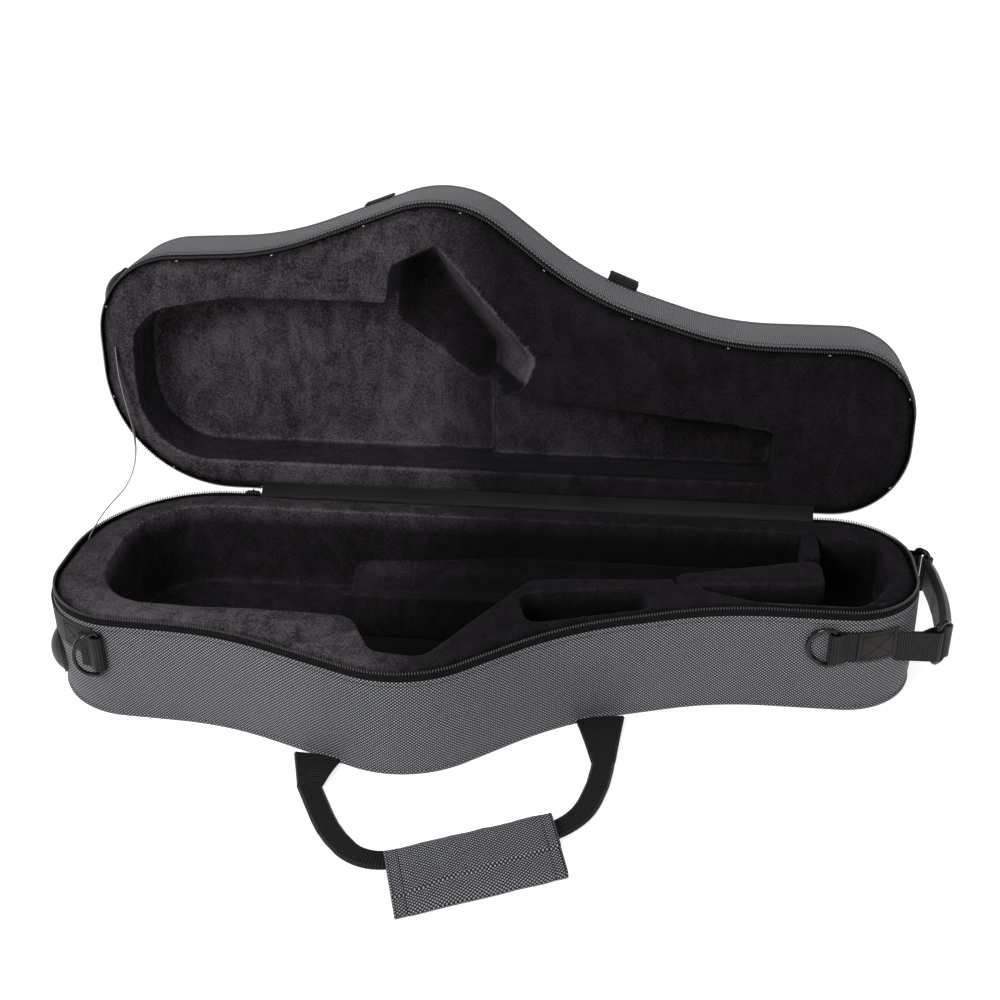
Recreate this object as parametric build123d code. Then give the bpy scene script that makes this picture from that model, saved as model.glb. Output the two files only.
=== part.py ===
from build123d import *
from math import radians, tan
import os

# A contoured soft case in two zipped halves: foam walls and panels inside a woven cover,
# a shaped plush cradle in the base, a recessed liner in the lid, webbing handles and
# strap rings. It stands open on its base. X runs along the case with the wide end at -X,
# the hinge is at the back (+Y) and z = 0 is the surface that it stands on.

# Driving sizes of the case, in millimetres and degrees
case_length = 670.0
case_depth = 250.0
base_height = 90.0
lid_height = 68.0
open_angle = 95.0

# Plan of the case, corner by corner from the back left round the front:
# x as a share of half the length, depth from the hinge as a share of the case depth
corner_shares = (
    (-1.0, 0.0), (-1.0, 0.80), (-0.555, 0.828), (-0.11, 1.048),
    (0.206, 0.716), (0.546, 0.57), (1.0, 0.57), (1.0, 0.0),
)
corner_radius_shares = (0.42, 0.28, 1.0, 0.34, 1.0, 1.0, 0.232, 0.248)
side_share = 0.98

# Layers of the wall, from outside to inside
cover_thickness = 1.2
tape_thickness = 1.0
wall_inset = 10.0
panel_thickness = 6.0
flange_height = 14.0
welt_radius = 2.4
welt_proud = 1.2
hem_drop = 8.0
chain_width = 2.8
rim_gap = 0.2
liner_drop = 1.0
air = 0.3
overrun = 2.0

# Hinge of the two halves
hinge_left = -205.0
hinge_right = 245.0
band_height = 26.0
band_thickness = 1.2
band_clear = 1.8
gusset_right = 261.0
gusset_reach = 16.0
gusset_rise = 14.0
gusset_thickness = 1.2
gusset_radius = 7.0

# Plush cradle of the base
cradle_floor = 14.0
floor_radius = 8.0
lip_radius = 4.0
cradle_shares = (
    (-0.887, 0.108), (-0.887, 0.70), (-0.27, 0.705), (-0.205, 0.885),
    (-0.09, 0.895), (0.108, 0.462), (0.436, 0.418), (0.752, 0.28), (0.752, 0.108),
)
cradle_radii = (60.0, 55.0, 20.0, 18.0, 14.0, 14.0, 10.0, 9.0, 12.0)
pocket_depth = 36.0
pocket_shares = ((0.088, 0.55), (0.12, 0.698), (0.388, 0.588), (0.366, 0.488))
pocket_radius = 9.0
neck_depth = 50.0
neck_shares = (
    (0.51, 0.435), (0.51, 0.475), (0.645, 0.524), (0.866, 0.524), (0.925, 0.40),
    (0.925, 0.136), (0.776, 0.136), (0.776, 0.40),
)
neck_radii = (4.0, 5.0, 30.0, 26.0, 30.0, 14.0, 9.0, 9.0)
divider_shares = ((0.442, 0.385), (0.785, 0.252), (0.785, 0.412), (0.442, 0.455))
divider_corner = 9.0
divider_seat = 40.0
divider_roll = 6.0
end_pad_shares = ((0.741, 0.112), (0.785, 0.112), (0.785, 0.244), (0.741, 0.252))
end_pad_corner = 5.0
end_pad_roll = 4.0
seat_corner = 1.0
saddle_height = 40.0
saddle_shares = ((-0.36, 0.118), (0.72, 0.118), (0.72, 0.25), (0.28, 0.40), (-0.36, 0.40))
saddle_corner = 8.0
trough_radius_wide = 36.0
trough_radius_narrow = 20.0
trough_depth_share = 0.235
trough_rise = 52.0

# Plush recesses of the lid, their depths measured from the rim
recess_depth = 50.0
recess_shares = (
    (-0.917, 0.108), (-0.917, 0.615), (-0.66, 0.676), (-0.272, 0.676), (-0.024, 0.37), (-0.024, 0.108),
)
recess_radii = (58.0, 42.0, 120.0, 20.0, 8.0, 6.0)
slot_depth = 42.0
slot_shares = ((-0.06, 0.108), (0.672, 0.108), (0.672, 0.286), (-0.06, 0.386))
slot_corner = 8.0
groove_depth = 56.0
groove_mouth_shares = (
    (-0.285, 0.60), (-0.262, 0.80), (-0.15, 0.872), (0.09, 0.50), (0.06, 0.40), (-0.05, 0.36),
)
groove_floor_shares = (
    (-0.275, 0.58), (-0.252, 0.765), (-0.19, 0.80), (-0.02, 0.50), (-0.02, 0.42), (-0.06, 0.36),
)

# Webbing, strap rings and feet
webbing_width = 26.0
webbing_thickness = 1.4
webbing_height = 60.0
left_band_height = 66.5
ring_wire = 1.9
ring_half_height = 15.6
ring_corner = 3.0
loop_play = 0.8
layer_gap = 0.1
bend_share = 0.97
loop_shares = (0.8, 3.0, 5.0)
left_ring_share = -0.829
left_ring_half_height = 18.6
left_ring_width = 32.0
left_ring_tilt = 36.0
right_ring_share = 0.797
right_ring_tilt = 5.5
left_band_start_share = -0.845
left_band_end_share = 0.14
right_band_end_share = 0.90
patch_start_share = 0.85
patch_end_share = 0.936
foot_radius = 17.0
foot_rise = 9.0
foot_flange = 2.0
foot_rim = 2.0
foot_root = 5.0
foot_height = 33.0
front_foot_share = 0.66
rear_foot_share = 0.20

# Carry handle, lying on the floor in front of the base
tab_width = 38.0
tab_thickness = 3.0
strap_width = 20.0
strap_thickness = 4.0
floor_gap = 0.4
left_tab_share = -0.319
right_tab_share = 0.283
strap_shares = (
    (-0.325, 1.075), (-0.263, 1.288), (-0.155, 1.41), (0.203, 1.212), (0.263, 1.14), (0.2955, 1.0), (0.3015, 0.885),
)
strap_radii = (0.0, 60.0, 30.0, 24.0, 40.0, 60.0, 0.0)
grip_length = 116.0
grip_centre_shares = (0.064, 1.36)
grip_turn = 23.5
grip_width = 60.0
grip_back_height = 19.0
grip_front_height = 11.0
grip_ridge_share = 0.40
grip_bends = (8.0, 9.0, 30.0, 4.5, 4.0)
grip_end_round = 1.5

# Strap of the lid, hanging behind the open lid
lid_tab_width = 34.0
lid_tab_reach = 9.0
lid_tab_drop = 3.5
lid_tab_back = 8.0
lid_tab_bend = 4.0
lid_strap_thickness = 3.0
lid_strap_start = 3.5
lid_strap_drop_shares = ((0.07, 0.95), (0.33, 1.45), (0.72, 1.55), (0.98, 1.05))
lid_strap_length = 100.0
lid_strap_radii = (0.0, 50.0, 45.0, 40.0, 45.0, 0.0)

# End handle at the narrow end
clip_wire = 2.4
clip_spacing = 11.0
clip_corner = 4.0
clip_front_shares = (1.03, 0.508)
clip_rear_share = 0.062
clip_drop = 5.0
clip_angle = 45.0
end_grip_height = 28.0
end_grip_crown = 5.0
end_grip_round = 2.5
web_root_share = 0.942
web_rear_root_share = 0.92

# Zip sliders, parked at the two ends of the zip beside the hinge
slider_length = 13.0
slider_height = 8.0
slider_thickness = 2.0
slider_corner = 2.5
slider_drop = 5.4
left_slider_share = -0.639
right_slider_share = 0.752
bridge_radius = 4.0
bridge_wire = 0.8
pull_wire = 0.7
pull_hang = 1.1
pull_lift = 0.5
eye_length = 6.0
eye_width = 3.0
pull_length = 26.0
pull_width = 8.0
pull_corner = 3.0

# Stay ribbon between the halves, at the wide end
ribbon_width = 6.0
ribbon_thickness = 0.6
ribbon_inset = 13.0
ribbon_lift = 8.0
ribbon_lid_share = 0.50
ribbon_base_share = 0.38
ribbon_fold_share = 0.02

half_length = case_length / 2
hinge_y = case_depth / 2
chain_inset = cover_thickness + tape_thickness / 2
flange_inset = chain_inset + chain_width / 2 + rim_gap
floor_level = cover_thickness + panel_thickness
liner_top = base_height - liner_drop
hinge_axis = Axis((0, hinge_y, base_height), (1, 0, 0))
up = Vector(0, 0, 1)


def place(x_share, depth_share, z=0.0):
    return Vector(x_share * half_length, hinge_y - depth_share * case_depth, z)


def places(shares):
    return [place(x_share, depth_share) for x_share, depth_share in shares]


def fitted_radii(corners, radii):
    # Each radius is limited by the two sides that it joins
    count = len(corners)
    sides = [corners[(i + 1) % count] - corners[i] for i in range(count)]
    turns = [radians(sides[i - 1].get_angle(sides[i])) for i in range(count)]
    reach = [radii[i] * tan(turns[i] / 2) for i in range(count)]
    spare = [1.0] * count
    for i in range(count):
        wanted = reach[i] + reach[(i + 1) % count]
        if wanted > side_share * sides[i].length:
            spare[i] = side_share * sides[i].length / wanted
    return [radii[i] * min(spare[i - 1], spare[i]) for i in range(count)]


def rounded_face(corners, radii):
    return make_face(FilletPolyline(*corners, radius=fitted_radii(corners, radii), close=True))


def corner_offset(into, out):
    # Step to the left of a corner that keeps both of its sides one unit away
    left = Vector(-into.Y, into.X) + Vector(-out.Y, out.X)
    return left / (1 + into.dot(out))


def outline(inset=0.0):
    # Plan of the case, every side moved inwards by the inset
    corners = places(corner_shares)
    count = len(corners)
    radii = fitted_radii(corners, [share * case_depth for share in corner_radius_shares])
    moved = []
    moved_radii = []
    for i, corner in enumerate(corners):
        into = (corner - corners[i - 1]).normalized()
        out = (corners[(i + 1) % count] - corner).normalized()
        moved.append(corner + corner_offset(into, out) * inset)
        outward = 1 if into.cross(out).Z > 0 else -1
        moved_radii.append(radii[i] - outward * inset)
    return FilletPolyline(*moved, radius=moved_radii, close=True)


def slab(inset, low, high):
    return Pos(0, 0, low) * extrude(make_face(outline(inset)), high - low)


def wall_ring(outer, inner, low, high):
    return slab(outer, low, high) - slab(inner, low - overrun, high + overrun)


def pipe(path, radius):
    return sweep(Plane(path @ 0, z_dir=path % 0) * Circle(radius), path)


def rim_pipe(inset, radius, z):
    return pipe(Pos(0, 0, z) * Wire(outline(inset).edges()), radius)


def prism(shares, radii, low, high):
    corners = places(shares)
    if not isinstance(radii, tuple):
        radii = [radii] * len(corners)
    return Pos(0, 0, low) * extrude(rounded_face(corners, list(radii)), high - low)


def block(x_range, y_range, z_range):
    size = [high - low for low, high in (x_range, y_range, z_range)]
    middle = [(low + high) / 2 for low, high in (x_range, y_range, z_range)]
    return Pos(*middle) * Box(*size)


def soften(part, z, radius):
    # Rounds the edges that lie at one height
    edges = part.edges().filter_by(lambda edge: abs(edge.center().Z - z) < air)
    return fillet(edges, radius)


def opened(part):
    # A lid piece is drawn on the closed case and swung back to the open pose
    return part.rotate(hinge_axis, -open_angle)


def closed_lid(part):
    # The lid is drawn standing on its outer face and turned over on to the base
    return part.mirror(Plane.XY).moved(Pos(0, 0, base_height + lid_height))


def band_face(points, radii, width):
    # Flat band of even width along a line with rounded turns, in the XY plane
    steps = [(b - a).normalized() for a, b in zip(points, points[1:])]
    left = []
    right = []
    left_radii = []
    right_radii = []
    for i, point in enumerate(points):
        into = steps[max(i - 1, 0)]
        out = steps[min(i, len(steps) - 1)]
        shift = corner_offset(into, out) * (width / 2)
        left.append(point + shift)
        right.append(point - shift)
        half = 0.0 if radii[i] == 0 else width / 2
        inner = half if into.cross(out).Z > 0 else -half
        left_radii.append(radii[i] - inner)
        right_radii.append(radii[i] + inner)
    corners = left + right[::-1]
    return make_face(FilletPolyline(*corners, radius=left_radii + right_radii[::-1], close=True))


def strap_part(plane, points, radii, thickness, width):
    # Strip of webbing: its line lies in the plane and its width stands square to it
    face = band_face([Vector(*point) for point in points], radii, thickness)
    return extrude(plane * face, width / 2, both=True)


def wall_point(x_share=None, depth_share=None, first=True):
    # Where a line across the case meets its outline, and the way that the wall runs there
    if x_share is not None:
        line = Axis(place(x_share, 0), (0, 1, 0))
    else:
        line = Axis(place(0, depth_share), (1, 0, 0))
    hits = []
    for edge in outline().edges():
        for point in edge.find_intersection_points(line):
            hits.append((point.Y if x_share is not None else point.X, point, edge.tangent_at(point)))
    hits.sort(key=lambda hit: hit[0])
    value, point, along = hits[0] if first else hits[-1]
    return point, along


def wall_plane(z, x_share=None, depth_share=None, first=True):
    # Plane on the outside of the wall: x along the wall, y up, z outwards
    point, along = wall_point(x_share, depth_share, first)
    outward = Vector(along.Y, -along.X).normalized()
    return Plane(point + up * z, x_dir=up.cross(outward), z_dir=outward)


def plan_plane(origin, toward, side):
    # Plane seen from above or below: x runs toward, y runs to the side
    return Plane(origin, x_dir=toward, z_dir=toward.cross(side))


def half_layers(height, name):
    # Cover, welt, zipper, foam and hinge band that both halves have, standing on z = 0
    rim = height - rim_gap
    low = height - flange_height
    high = rim - chain_width
    gap_y = (hinge_y - wall_inset, hinge_y + wall_inset)
    clear = block((hinge_left, hinge_right), gap_y, (low, height + overrun))
    tape = wall_ring(cover_thickness, cover_thickness + tape_thickness, low, high)
    chain = wall_ring(chain_inset - chain_width / 2, chain_inset + chain_width / 2, high, rim)
    return {
        name + "_panel_cover": slab(2 * welt_radius - welt_proud, 0, cover_thickness),
        name + "_panel": slab(2 * welt_radius - welt_proud + air, cover_thickness, floor_level),
        name + "_welt": rim_pipe(welt_radius - welt_proud, welt_radius, welt_radius),
        name + "_side_cover": wall_ring(0, cover_thickness, 2 * welt_radius, height - hem_drop),
        name + "_foam_wall": wall_ring(cover_thickness, wall_inset, floor_level, low),
        name + "_zipper_tape": tape - clear,
        name + "_zipper_chain": chain - clear,
        name + "_hinge_band": hinge_band(height),
    }


def hinge_band(height):
    # Webbing leaf outside the cover, with a head that fills the place of the zipper
    top = height - band_clear
    x_range = (hinge_left, hinge_right)
    leaf = block(x_range, (hinge_y, hinge_y + band_thickness), (height - band_height, top))
    neck_y = (hinge_y - flange_inset, hinge_y - cover_thickness)
    neck = block(x_range, neck_y, (height - flange_height, top))
    head = block(x_range, (hinge_y - flange_inset, hinge_y + band_thickness), (height - hem_drop, top))
    return leaf + neck + head


def liner_block(height):
    top = height - liner_drop
    body = slab(wall_inset, floor_level, top)
    return body + wall_ring(flange_inset, wall_inset + overrun, height - flange_height, top)


def cavity(shares, radii, floor, top, bottom_round):
    hollow = prism(shares, radii, floor, top + overrun)
    return soften(hollow, floor, bottom_round)


def base_liner():
    body = liner_block(base_height)
    well = cavity(cradle_shares, cradle_radii, cradle_floor, liner_top, floor_radius)
    neck = prism(neck_shares, neck_radii, base_height - neck_depth, liner_top + overrun)
    pocket = prism(pocket_shares, pocket_radius, base_height - pocket_depth, liner_top + overrun)
    seat = prism(divider_shares, seat_corner, divider_seat, liner_top + overrun)
    pad_seat = prism(end_pad_shares, seat_corner, divider_seat, liner_top + overrun)
    shell = soften(body - well - neck - pocket, liner_top, lip_radius)
    return shell - seat - pad_seat


def channel_divider():
    bar = prism(divider_shares, divider_corner, divider_seat, liner_top)
    return soften(bar, liner_top, divider_roll)


def channel_end_pad():
    pad = prism(end_pad_shares, end_pad_corner, divider_seat, liner_top)
    return soften(pad, liner_top, end_pad_roll)


def body_saddle():
    # Block on the cradle floor with a tapered trough along its top
    top = cradle_floor + saddle_height
    bed = prism(saddle_shares, saddle_corner, cradle_floor, top)
    left = place(saddle_shares[0][0], trough_depth_share, cradle_floor + trough_rise)
    right = place(saddle_shares[1][0], trough_depth_share, cradle_floor + trough_rise)
    length = (right - left).length + 2 * overrun
    cone = Cone(trough_radius_wide, trough_radius_narrow, length)
    well = cavity(cradle_shares, cradle_radii, cradle_floor, liner_top, floor_radius)
    return (bed - Plane((left + right) / 2, z_dir=right - left) * cone) & well


def lid_liner():
    # Drawn standing on its outer face, with the rim at the top
    top = lid_height - liner_drop
    recess = prism(recess_shares, recess_radii, lid_height - recess_depth, top + overrun)
    slot = prism(slot_shares, slot_corner, lid_height - slot_depth, top + overrun)
    floor = make_face(Polyline(*places(groove_floor_shares), close=True))
    mouth = make_face(Polyline(*places(groove_mouth_shares), close=True))
    groove = loft([Pos(0, 0, lid_height - groove_depth) * floor, Pos(0, 0, top + overrun) * mouth], ruled=True)
    return liner_block(lid_height) - recess - slot - groove


def hinge_fold():
    # Rolled fabric on the axis, between the heads of the two hinge bands
    middle = (hinge_left + hinge_right) / 2
    rod = Cylinder(band_clear - air, hinge_right - hinge_left, rotation=(0, 90, 0))
    return Pos(middle, hinge_y, base_height) * rod


def lid_spot(depth, lift):
    # Point on the open lid in the YZ plane: depth from the hinge, lift above its rim
    spot = Vector(0, -depth, lift).rotate(Axis.X, -open_angle)
    return Vector(hinge_y + spot.Y, base_height + spot.Z)


def hinge_gusset():
    # Plush strip over the inner corner of the hinge, from one liner to the other
    lift = gusset_thickness / 2 + air - liner_drop
    start = Vector(hinge_y - gusset_reach, base_height + lift)
    stop = lid_spot(gusset_rise, -lift)
    fold = lid_spot(0, -lift)
    slope = (stop - fold) / (stop - fold).Y
    corner = fold + slope * (start.Y - fold.Y)
    face = band_face([start, corner, stop], [0.0, gusset_radius, 0.0], gusset_thickness)
    plane = Plane((hinge_left, 0, 0), x_dir=(0, 1, 0), z_dir=(1, 0, 0))
    return extrude(plane * face, gusset_right - hinge_left)


def ring_loop(wire, reach):
    # Line of webbing that goes round a bar at the origin and lies back on itself
    turn = wire + loop_play + webbing_thickness / 2
    under = -turn
    over = under + webbing_thickness + layer_gap
    points = [(reach, under), (-turn, under), (-turn, turn)]
    points += [(share * turn, high) for share, high in zip(loop_shares, (turn, over, over))]
    radii = [0.0] + [turn * bend_share] * 4 + [0.0]
    return points, radii


def d_ring(plane, half_height, tilt):
    # Wire ring in its own plane: the bar on the Y axis, the bow towards -X
    width = half_height + ring_corner
    corners = [Vector(0, -half_height), Vector(0, half_height)]
    corners += [Vector(-width, half_height), Vector(-width, -half_height)]
    radii = fitted_radii(corners, [ring_corner, ring_corner, half_height, half_height])
    path = FilletPolyline(*corners, radius=radii, close=True)
    return plane * Rot(0, tilt, 0) * pipe(Wire(path.edges()), ring_wire)


def ring_plane(x_share):
    # Plane of a strap ring: its origin is the middle of the bar, off the wall
    lift = webbing_thickness + ring_wire + loop_play
    return wall_plane(webbing_height, x_share=x_share).offset(lift)


def wall_band(start, stop, low, high, layer=0):
    # Webbing lying on the outside of the wall between two places along X and Y
    strip = wall_ring(-(layer + 1) * webbing_thickness, -layer * webbing_thickness, low, high)
    return strip & block((start[0], stop[0]), (start[1], stop[1]), (low - overrun, high + overrun))


def foot(depth_share, z):
    # Rubber dome on a flange; its back follows the curved end of the case
    rim = foot_radius + foot_rim
    flange = Pos(0, 0, (foot_flange - foot_root) / 2) * Cylinder(rim, foot_flange + foot_root)
    height = foot_rise - foot_flange
    ball_radius = (foot_radius ** 2 + height ** 2) / (2 * height)
    ball = Pos(0, 0, foot_rise - ball_radius) * Sphere(ball_radius)
    dome = ball & (Pos(0, 0, foot_rise) * Cylinder(foot_radius, 2 * height))
    return wall_plane(z, depth_share=depth_share) * (flange + dome) - slab(0, 0, base_height)


def handle_tab(x_share, strap_end, strap_next):
    # Folded webbing from under the wall that narrows to the strap
    plane = wall_plane(0, x_share=x_share)
    root = plane.origin
    along = plane.x_dir * (tab_width / 2)
    out = (strap_next - strap_end).normalized()
    across = Vector(-out.Y, out.X) * (strap_width / 2)
    if across.dot(along) < 0:
        across = -across
    tip = strap_end - out * air
    face = make_face(Polyline(root - along, root + along, tip + across, tip - across, close=True))
    return Pos(0, 0, floor_gap) * extrude(face, tab_thickness) - outer_seam()


def outer_seam():
    # The case with its welts and a little air, cut from what is sewn to its edge
    return slab(-welt_proud - air, -overrun, base_height + lid_height + overrun)


def carry_strap_line():
    return places(strap_shares)


def carry_strap():
    line = carry_strap_line()
    face = band_face(line, fitted_radii(line, list(strap_radii)), strap_width)
    return Pos(0, 0, floor_gap) * extrude(face, strap_thickness)


def carry_grip():
    # Wrapped pad: thick and round over the strap, thinner towards its front edge
    back = grip_width / 2
    ridge = back - grip_ridge_share * grip_width
    corners = [Vector(back, 0), Vector(back, grip_back_height), Vector(ridge, grip_back_height)]
    corners += [Vector(-back, grip_front_height), Vector(-back, 0)]
    profile = rounded_face(corners, list(grip_bends))
    pad = extrude(Plane.YZ * profile, grip_length / 2, both=True)
    ends = pad.faces().sort_by(Axis.X)
    pad = fillet(ends[0].edges() + ends[-1].edges(), grip_end_round)
    pad = pad.rotate(Axis.Z, grip_turn)
    return pad.moved(Location(place(*grip_centre_shares, floor_gap))) - carry_strap()


def lid_tab(x_share):
    # Webbing from the lid's outer seam, turned back over the edge
    plane = wall_plane(base_height + lid_height - lid_tab_drop, x_share=x_share)
    section = Plane(plane.origin, x_dir=plane.z_dir, z_dir=plane.z_dir.cross(up))
    points = [(0, 0), (lid_tab_reach, 0), (lid_tab_reach, lid_tab_drop + lid_tab_back)]
    strip = strap_part(section, points, [0.0, lid_tab_bend, 0.0], tab_thickness, lid_tab_width)
    return opened(strip - outer_seam())


def lid_tab_end(x_share):
    # Middle of the tab's free end in the open pose
    plane = wall_plane(base_height + lid_height + lid_tab_back, x_share=x_share)
    end = plane.origin + plane.z_dir * lid_tab_reach - hinge_axis.position
    return end.rotate(Axis.X, -open_angle) + hinge_axis.position


def lid_strap():
    # Loop of webbing hanging from the two tabs, in the upright plane through them
    left = lid_tab_end(left_tab_share)
    right = lid_tab_end(right_tab_share)
    level = Vector(right.X - left.X, right.Y - left.Y, 0)
    plane = Plane(left, x_dir=level.normalized(), z_dir=level.cross(up))
    span = level.length
    fall = right.Z - left.Z
    hang = lid_strap_start + tab_thickness / 2
    points = [Vector(0, -hang)]
    points += [Vector(span * along, -lid_strap_length * down) for along, down in lid_strap_drop_shares]
    points += [Vector(span, fall - hang)]
    face = band_face(points, fitted_radii(points, list(lid_strap_radii)), strap_width)
    return extrude(plane * face, lid_strap_thickness / 2, both=True)


def clip_places():
    # Middle of the bars of the two end clips: web bar and grip bar, front and rear
    front = place(*clip_front_shares, webbing_height - clip_drop)
    rear = place(clip_front_shares[0], clip_rear_share, webbing_height - clip_drop)
    turn = Vector(1, 0, 0).rotate(Axis.Z, clip_angle) * clip_spacing
    back = Vector(turn.X, -turn.Y, 0)
    return (front, front + turn), (rear, rear + back)


def end_clip(web_bar, grip_bar):
    # Moulded loop with one bar in the web and the other in the grip
    half = end_grip_height / 2 + loop_play + clip_wire
    reach = (grip_bar - web_bar).length
    corners = [Vector(0, -half), Vector(reach, -half), Vector(reach, half), Vector(0, half)]
    path = FilletPolyline(*corners, radius=clip_corner, close=True)
    across = (grip_bar - web_bar).normalized()
    plane = Plane(web_bar, x_dir=across, z_dir=across.cross(up))
    return plane * pipe(Wire(path.edges()), clip_wire)


def end_web(root, web_bar, inside, layers):
    # Free webbing from its patch on the wall to the clip, folded round its bar
    level = Vector(root.X, root.Y, web_bar.Z)
    toward = (level - web_bar).normalized()
    side = up.cross(toward)
    if side.Y * inside < 0:
        side = -side
    points, radii = ring_loop(clip_wire, (level - web_bar).length)
    strip = strap_part(plan_plane(web_bar, toward, side), points, radii, webbing_thickness, webbing_width)
    return strip - slab(-layers * webbing_thickness - layer_gap, 0, base_height)


def end_grip(front_bar, rear_bar):
    # Padded bar that bows outwards, with an eye at each end for the clips
    turn = clip_wire + loop_play
    thickness = 2 * (turn + webbing_thickness)
    middle = (front_bar + rear_bar) / 2 + Vector(end_grip_crown, 0, 0)
    ends = [Vector(front_bar.X, front_bar.Y), Vector(middle.X, middle.Y), Vector(rear_bar.X, rear_bar.Y)]
    radii = fitted_radii(ends, [0.0, case_depth, 0.0])
    face = band_face(ends, radii, thickness)
    for bar in (ends[0], ends[-1]):
        face += Pos(bar.X, bar.Y) * Circle(thickness / 2)
    for bar in (ends[0], ends[-1]):
        face -= Pos(bar.X, bar.Y) * Circle(turn)
    low = front_bar.Z - end_grip_height / 2
    return Pos(0, 0, low) * extrude(face, end_grip_height)


def slider_plane(x_share):
    rim = base_height - slider_drop
    return wall_plane(rim, x_share=x_share, first=False).offset(air)


def slider(x_share):
    # Flat slider body with an arched bridge for the pull
    plane = slider_plane(x_share)
    plate = extrude(plane * RectangleRounded(slider_length, slider_height, slider_corner), slider_thickness)
    arch = ThreePointArc((-bridge_radius, 0), (0, bridge_radius), (bridge_radius, 0))
    foot_point = plane.origin + plane.z_dir * (slider_thickness - bridge_wire / 2)
    section = Plane(foot_point, x_dir=plane.y_dir, z_dir=plane.y_dir.cross(plane.z_dir))
    return plate + section * pipe(Wire(arch.edges()), bridge_wire)


def pull_plane(x_share):
    plane = slider_plane(x_share).offset(slider_thickness + pull_hang)
    return Plane(plane.origin + plane.y_dir * pull_lift, x_dir=plane.x_dir, z_dir=plane.z_dir)


def slider_pull(x_share):
    # Tongue with an eye whose top bar hangs in the bridge
    head = Pos(0, -eye_length / 2) * RectangleRounded(
        eye_width + 4 * pull_wire, eye_length + 2 * pull_wire, pull_wire * 2)
    eye = Pos(0, -eye_length / 2) * Rectangle(eye_width, eye_length - 2 * pull_wire)
    tongue = Pos(0, -eye_length - pull_length / 2 + pull_corner) * RectangleRounded(
        pull_width, pull_length, pull_corner)
    face = head + tongue - eye
    return extrude(pull_plane(x_share) * face, pull_wire, both=True)


def stay_ribbon():
    # Thin ribbon that keeps the lid from falling further back
    clear = liner_drop - air
    foot_y = hinge_y - ribbon_base_share * case_depth
    lid_depth = ribbon_lid_share * case_depth
    fold_depth = ribbon_fold_share * case_depth
    points = [
        Vector(foot_y, base_height - clear),
        Vector(foot_y, base_height + ribbon_lift),
        Vector(hinge_y - ribbon_lift - fold_depth, base_height + ribbon_lift),
        lid_spot(lid_depth, -ribbon_lift),
        lid_spot(lid_depth, clear),
    ]
    radii = fitted_radii(points, [0.0, ribbon_width, 4 * ribbon_width, ribbon_width, 0.0])
    face = band_face(points, radii, ribbon_width)
    plane = Plane((ribbon_inset - half_length, 0, 0), x_dir=(0, 1, 0), z_dir=(1, 0, 0))
    return extrude(plane * face, ribbon_thickness)


parts = half_layers(base_height, "base")
for name, part in half_layers(lid_height, "lid").items():
    parts[name] = opened(closed_lid(part))
parts["base_liner"] = base_liner()
parts["lid_liner"] = opened(closed_lid(lid_liner()))
parts["channel_divider"] = channel_divider()
parts["channel_end_pad"] = channel_end_pad()
parts["body_saddle"] = body_saddle()
parts["hinge_fold"] = hinge_fold()
parts["hinge_gusset"] = hinge_gusset()

# Webbing and strap rings
band_low = webbing_height - webbing_width / 2
band_high = webbing_height + webbing_width / 2
left_low = left_band_height - webbing_width / 2
left_high = left_band_height + webbing_width / 2
front_y = hinge_y - case_depth - wall_inset
left_x = left_band_start_share * half_length
left_stop = (left_x, hinge_y - left_band_end_share * case_depth)
left_band = wall_band((-half_length - wall_inset, front_y), left_stop, left_low, left_high)
right_stop = (right_band_end_share * half_length, hinge_y - case_depth / 3)
right_start = (right_ring_share * half_length + ring_wire, front_y)
right_band = wall_band(right_start, right_stop, band_low, band_high)
left_plane = ring_plane(left_ring_share)
right_plane = ring_plane(right_ring_share)
points, radii = ring_loop(ring_wire, 5 * ring_wire)
right_loop_plane = plan_plane(right_plane.origin, right_plane.x_dir, right_plane.z_dir)
right_loop = strap_part(right_loop_plane, points, radii, webbing_thickness, webbing_width)
left_loop_plane = plan_plane(left_plane.origin, -left_plane.x_dir, left_plane.z_dir)
left_loop = strap_part(left_loop_plane, points, radii, webbing_thickness, left_ring_width)
parts["left_ring_band"] = left_band - left_loop
parts["left_ring_loop"] = left_loop - slab(0, 0, base_height)
parts["right_ring_band"] = right_band + right_loop
parts["left_d_ring"] = d_ring(left_plane, left_ring_half_height, left_ring_tilt)
parts["right_d_ring"] = d_ring(right_plane, ring_half_height, -right_ring_tilt)

# Feet on the wide end, on both halves
for name, depth_share in (("front", front_foot_share), ("rear", rear_foot_share)):
    parts["base_foot_" + name] = foot(depth_share, foot_height)
    parts["lid_foot_" + name] = opened(closed_lid(foot(depth_share, foot_height)))

# Carry handle and the strap of the lid
strap_line = carry_strap_line()
parts["handle_tab_left"] = handle_tab(left_tab_share, strap_line[0], strap_line[1])
parts["handle_tab_right"] = handle_tab(right_tab_share, strap_line[-1], strap_line[-2])
parts["carry_strap"] = carry_strap()
parts["carry_grip"] = carry_grip()
parts["lid_tab_left"] = lid_tab(left_tab_share)
parts["lid_tab_right"] = lid_tab(right_tab_share)
parts["lid_strap"] = lid_strap()

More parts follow.
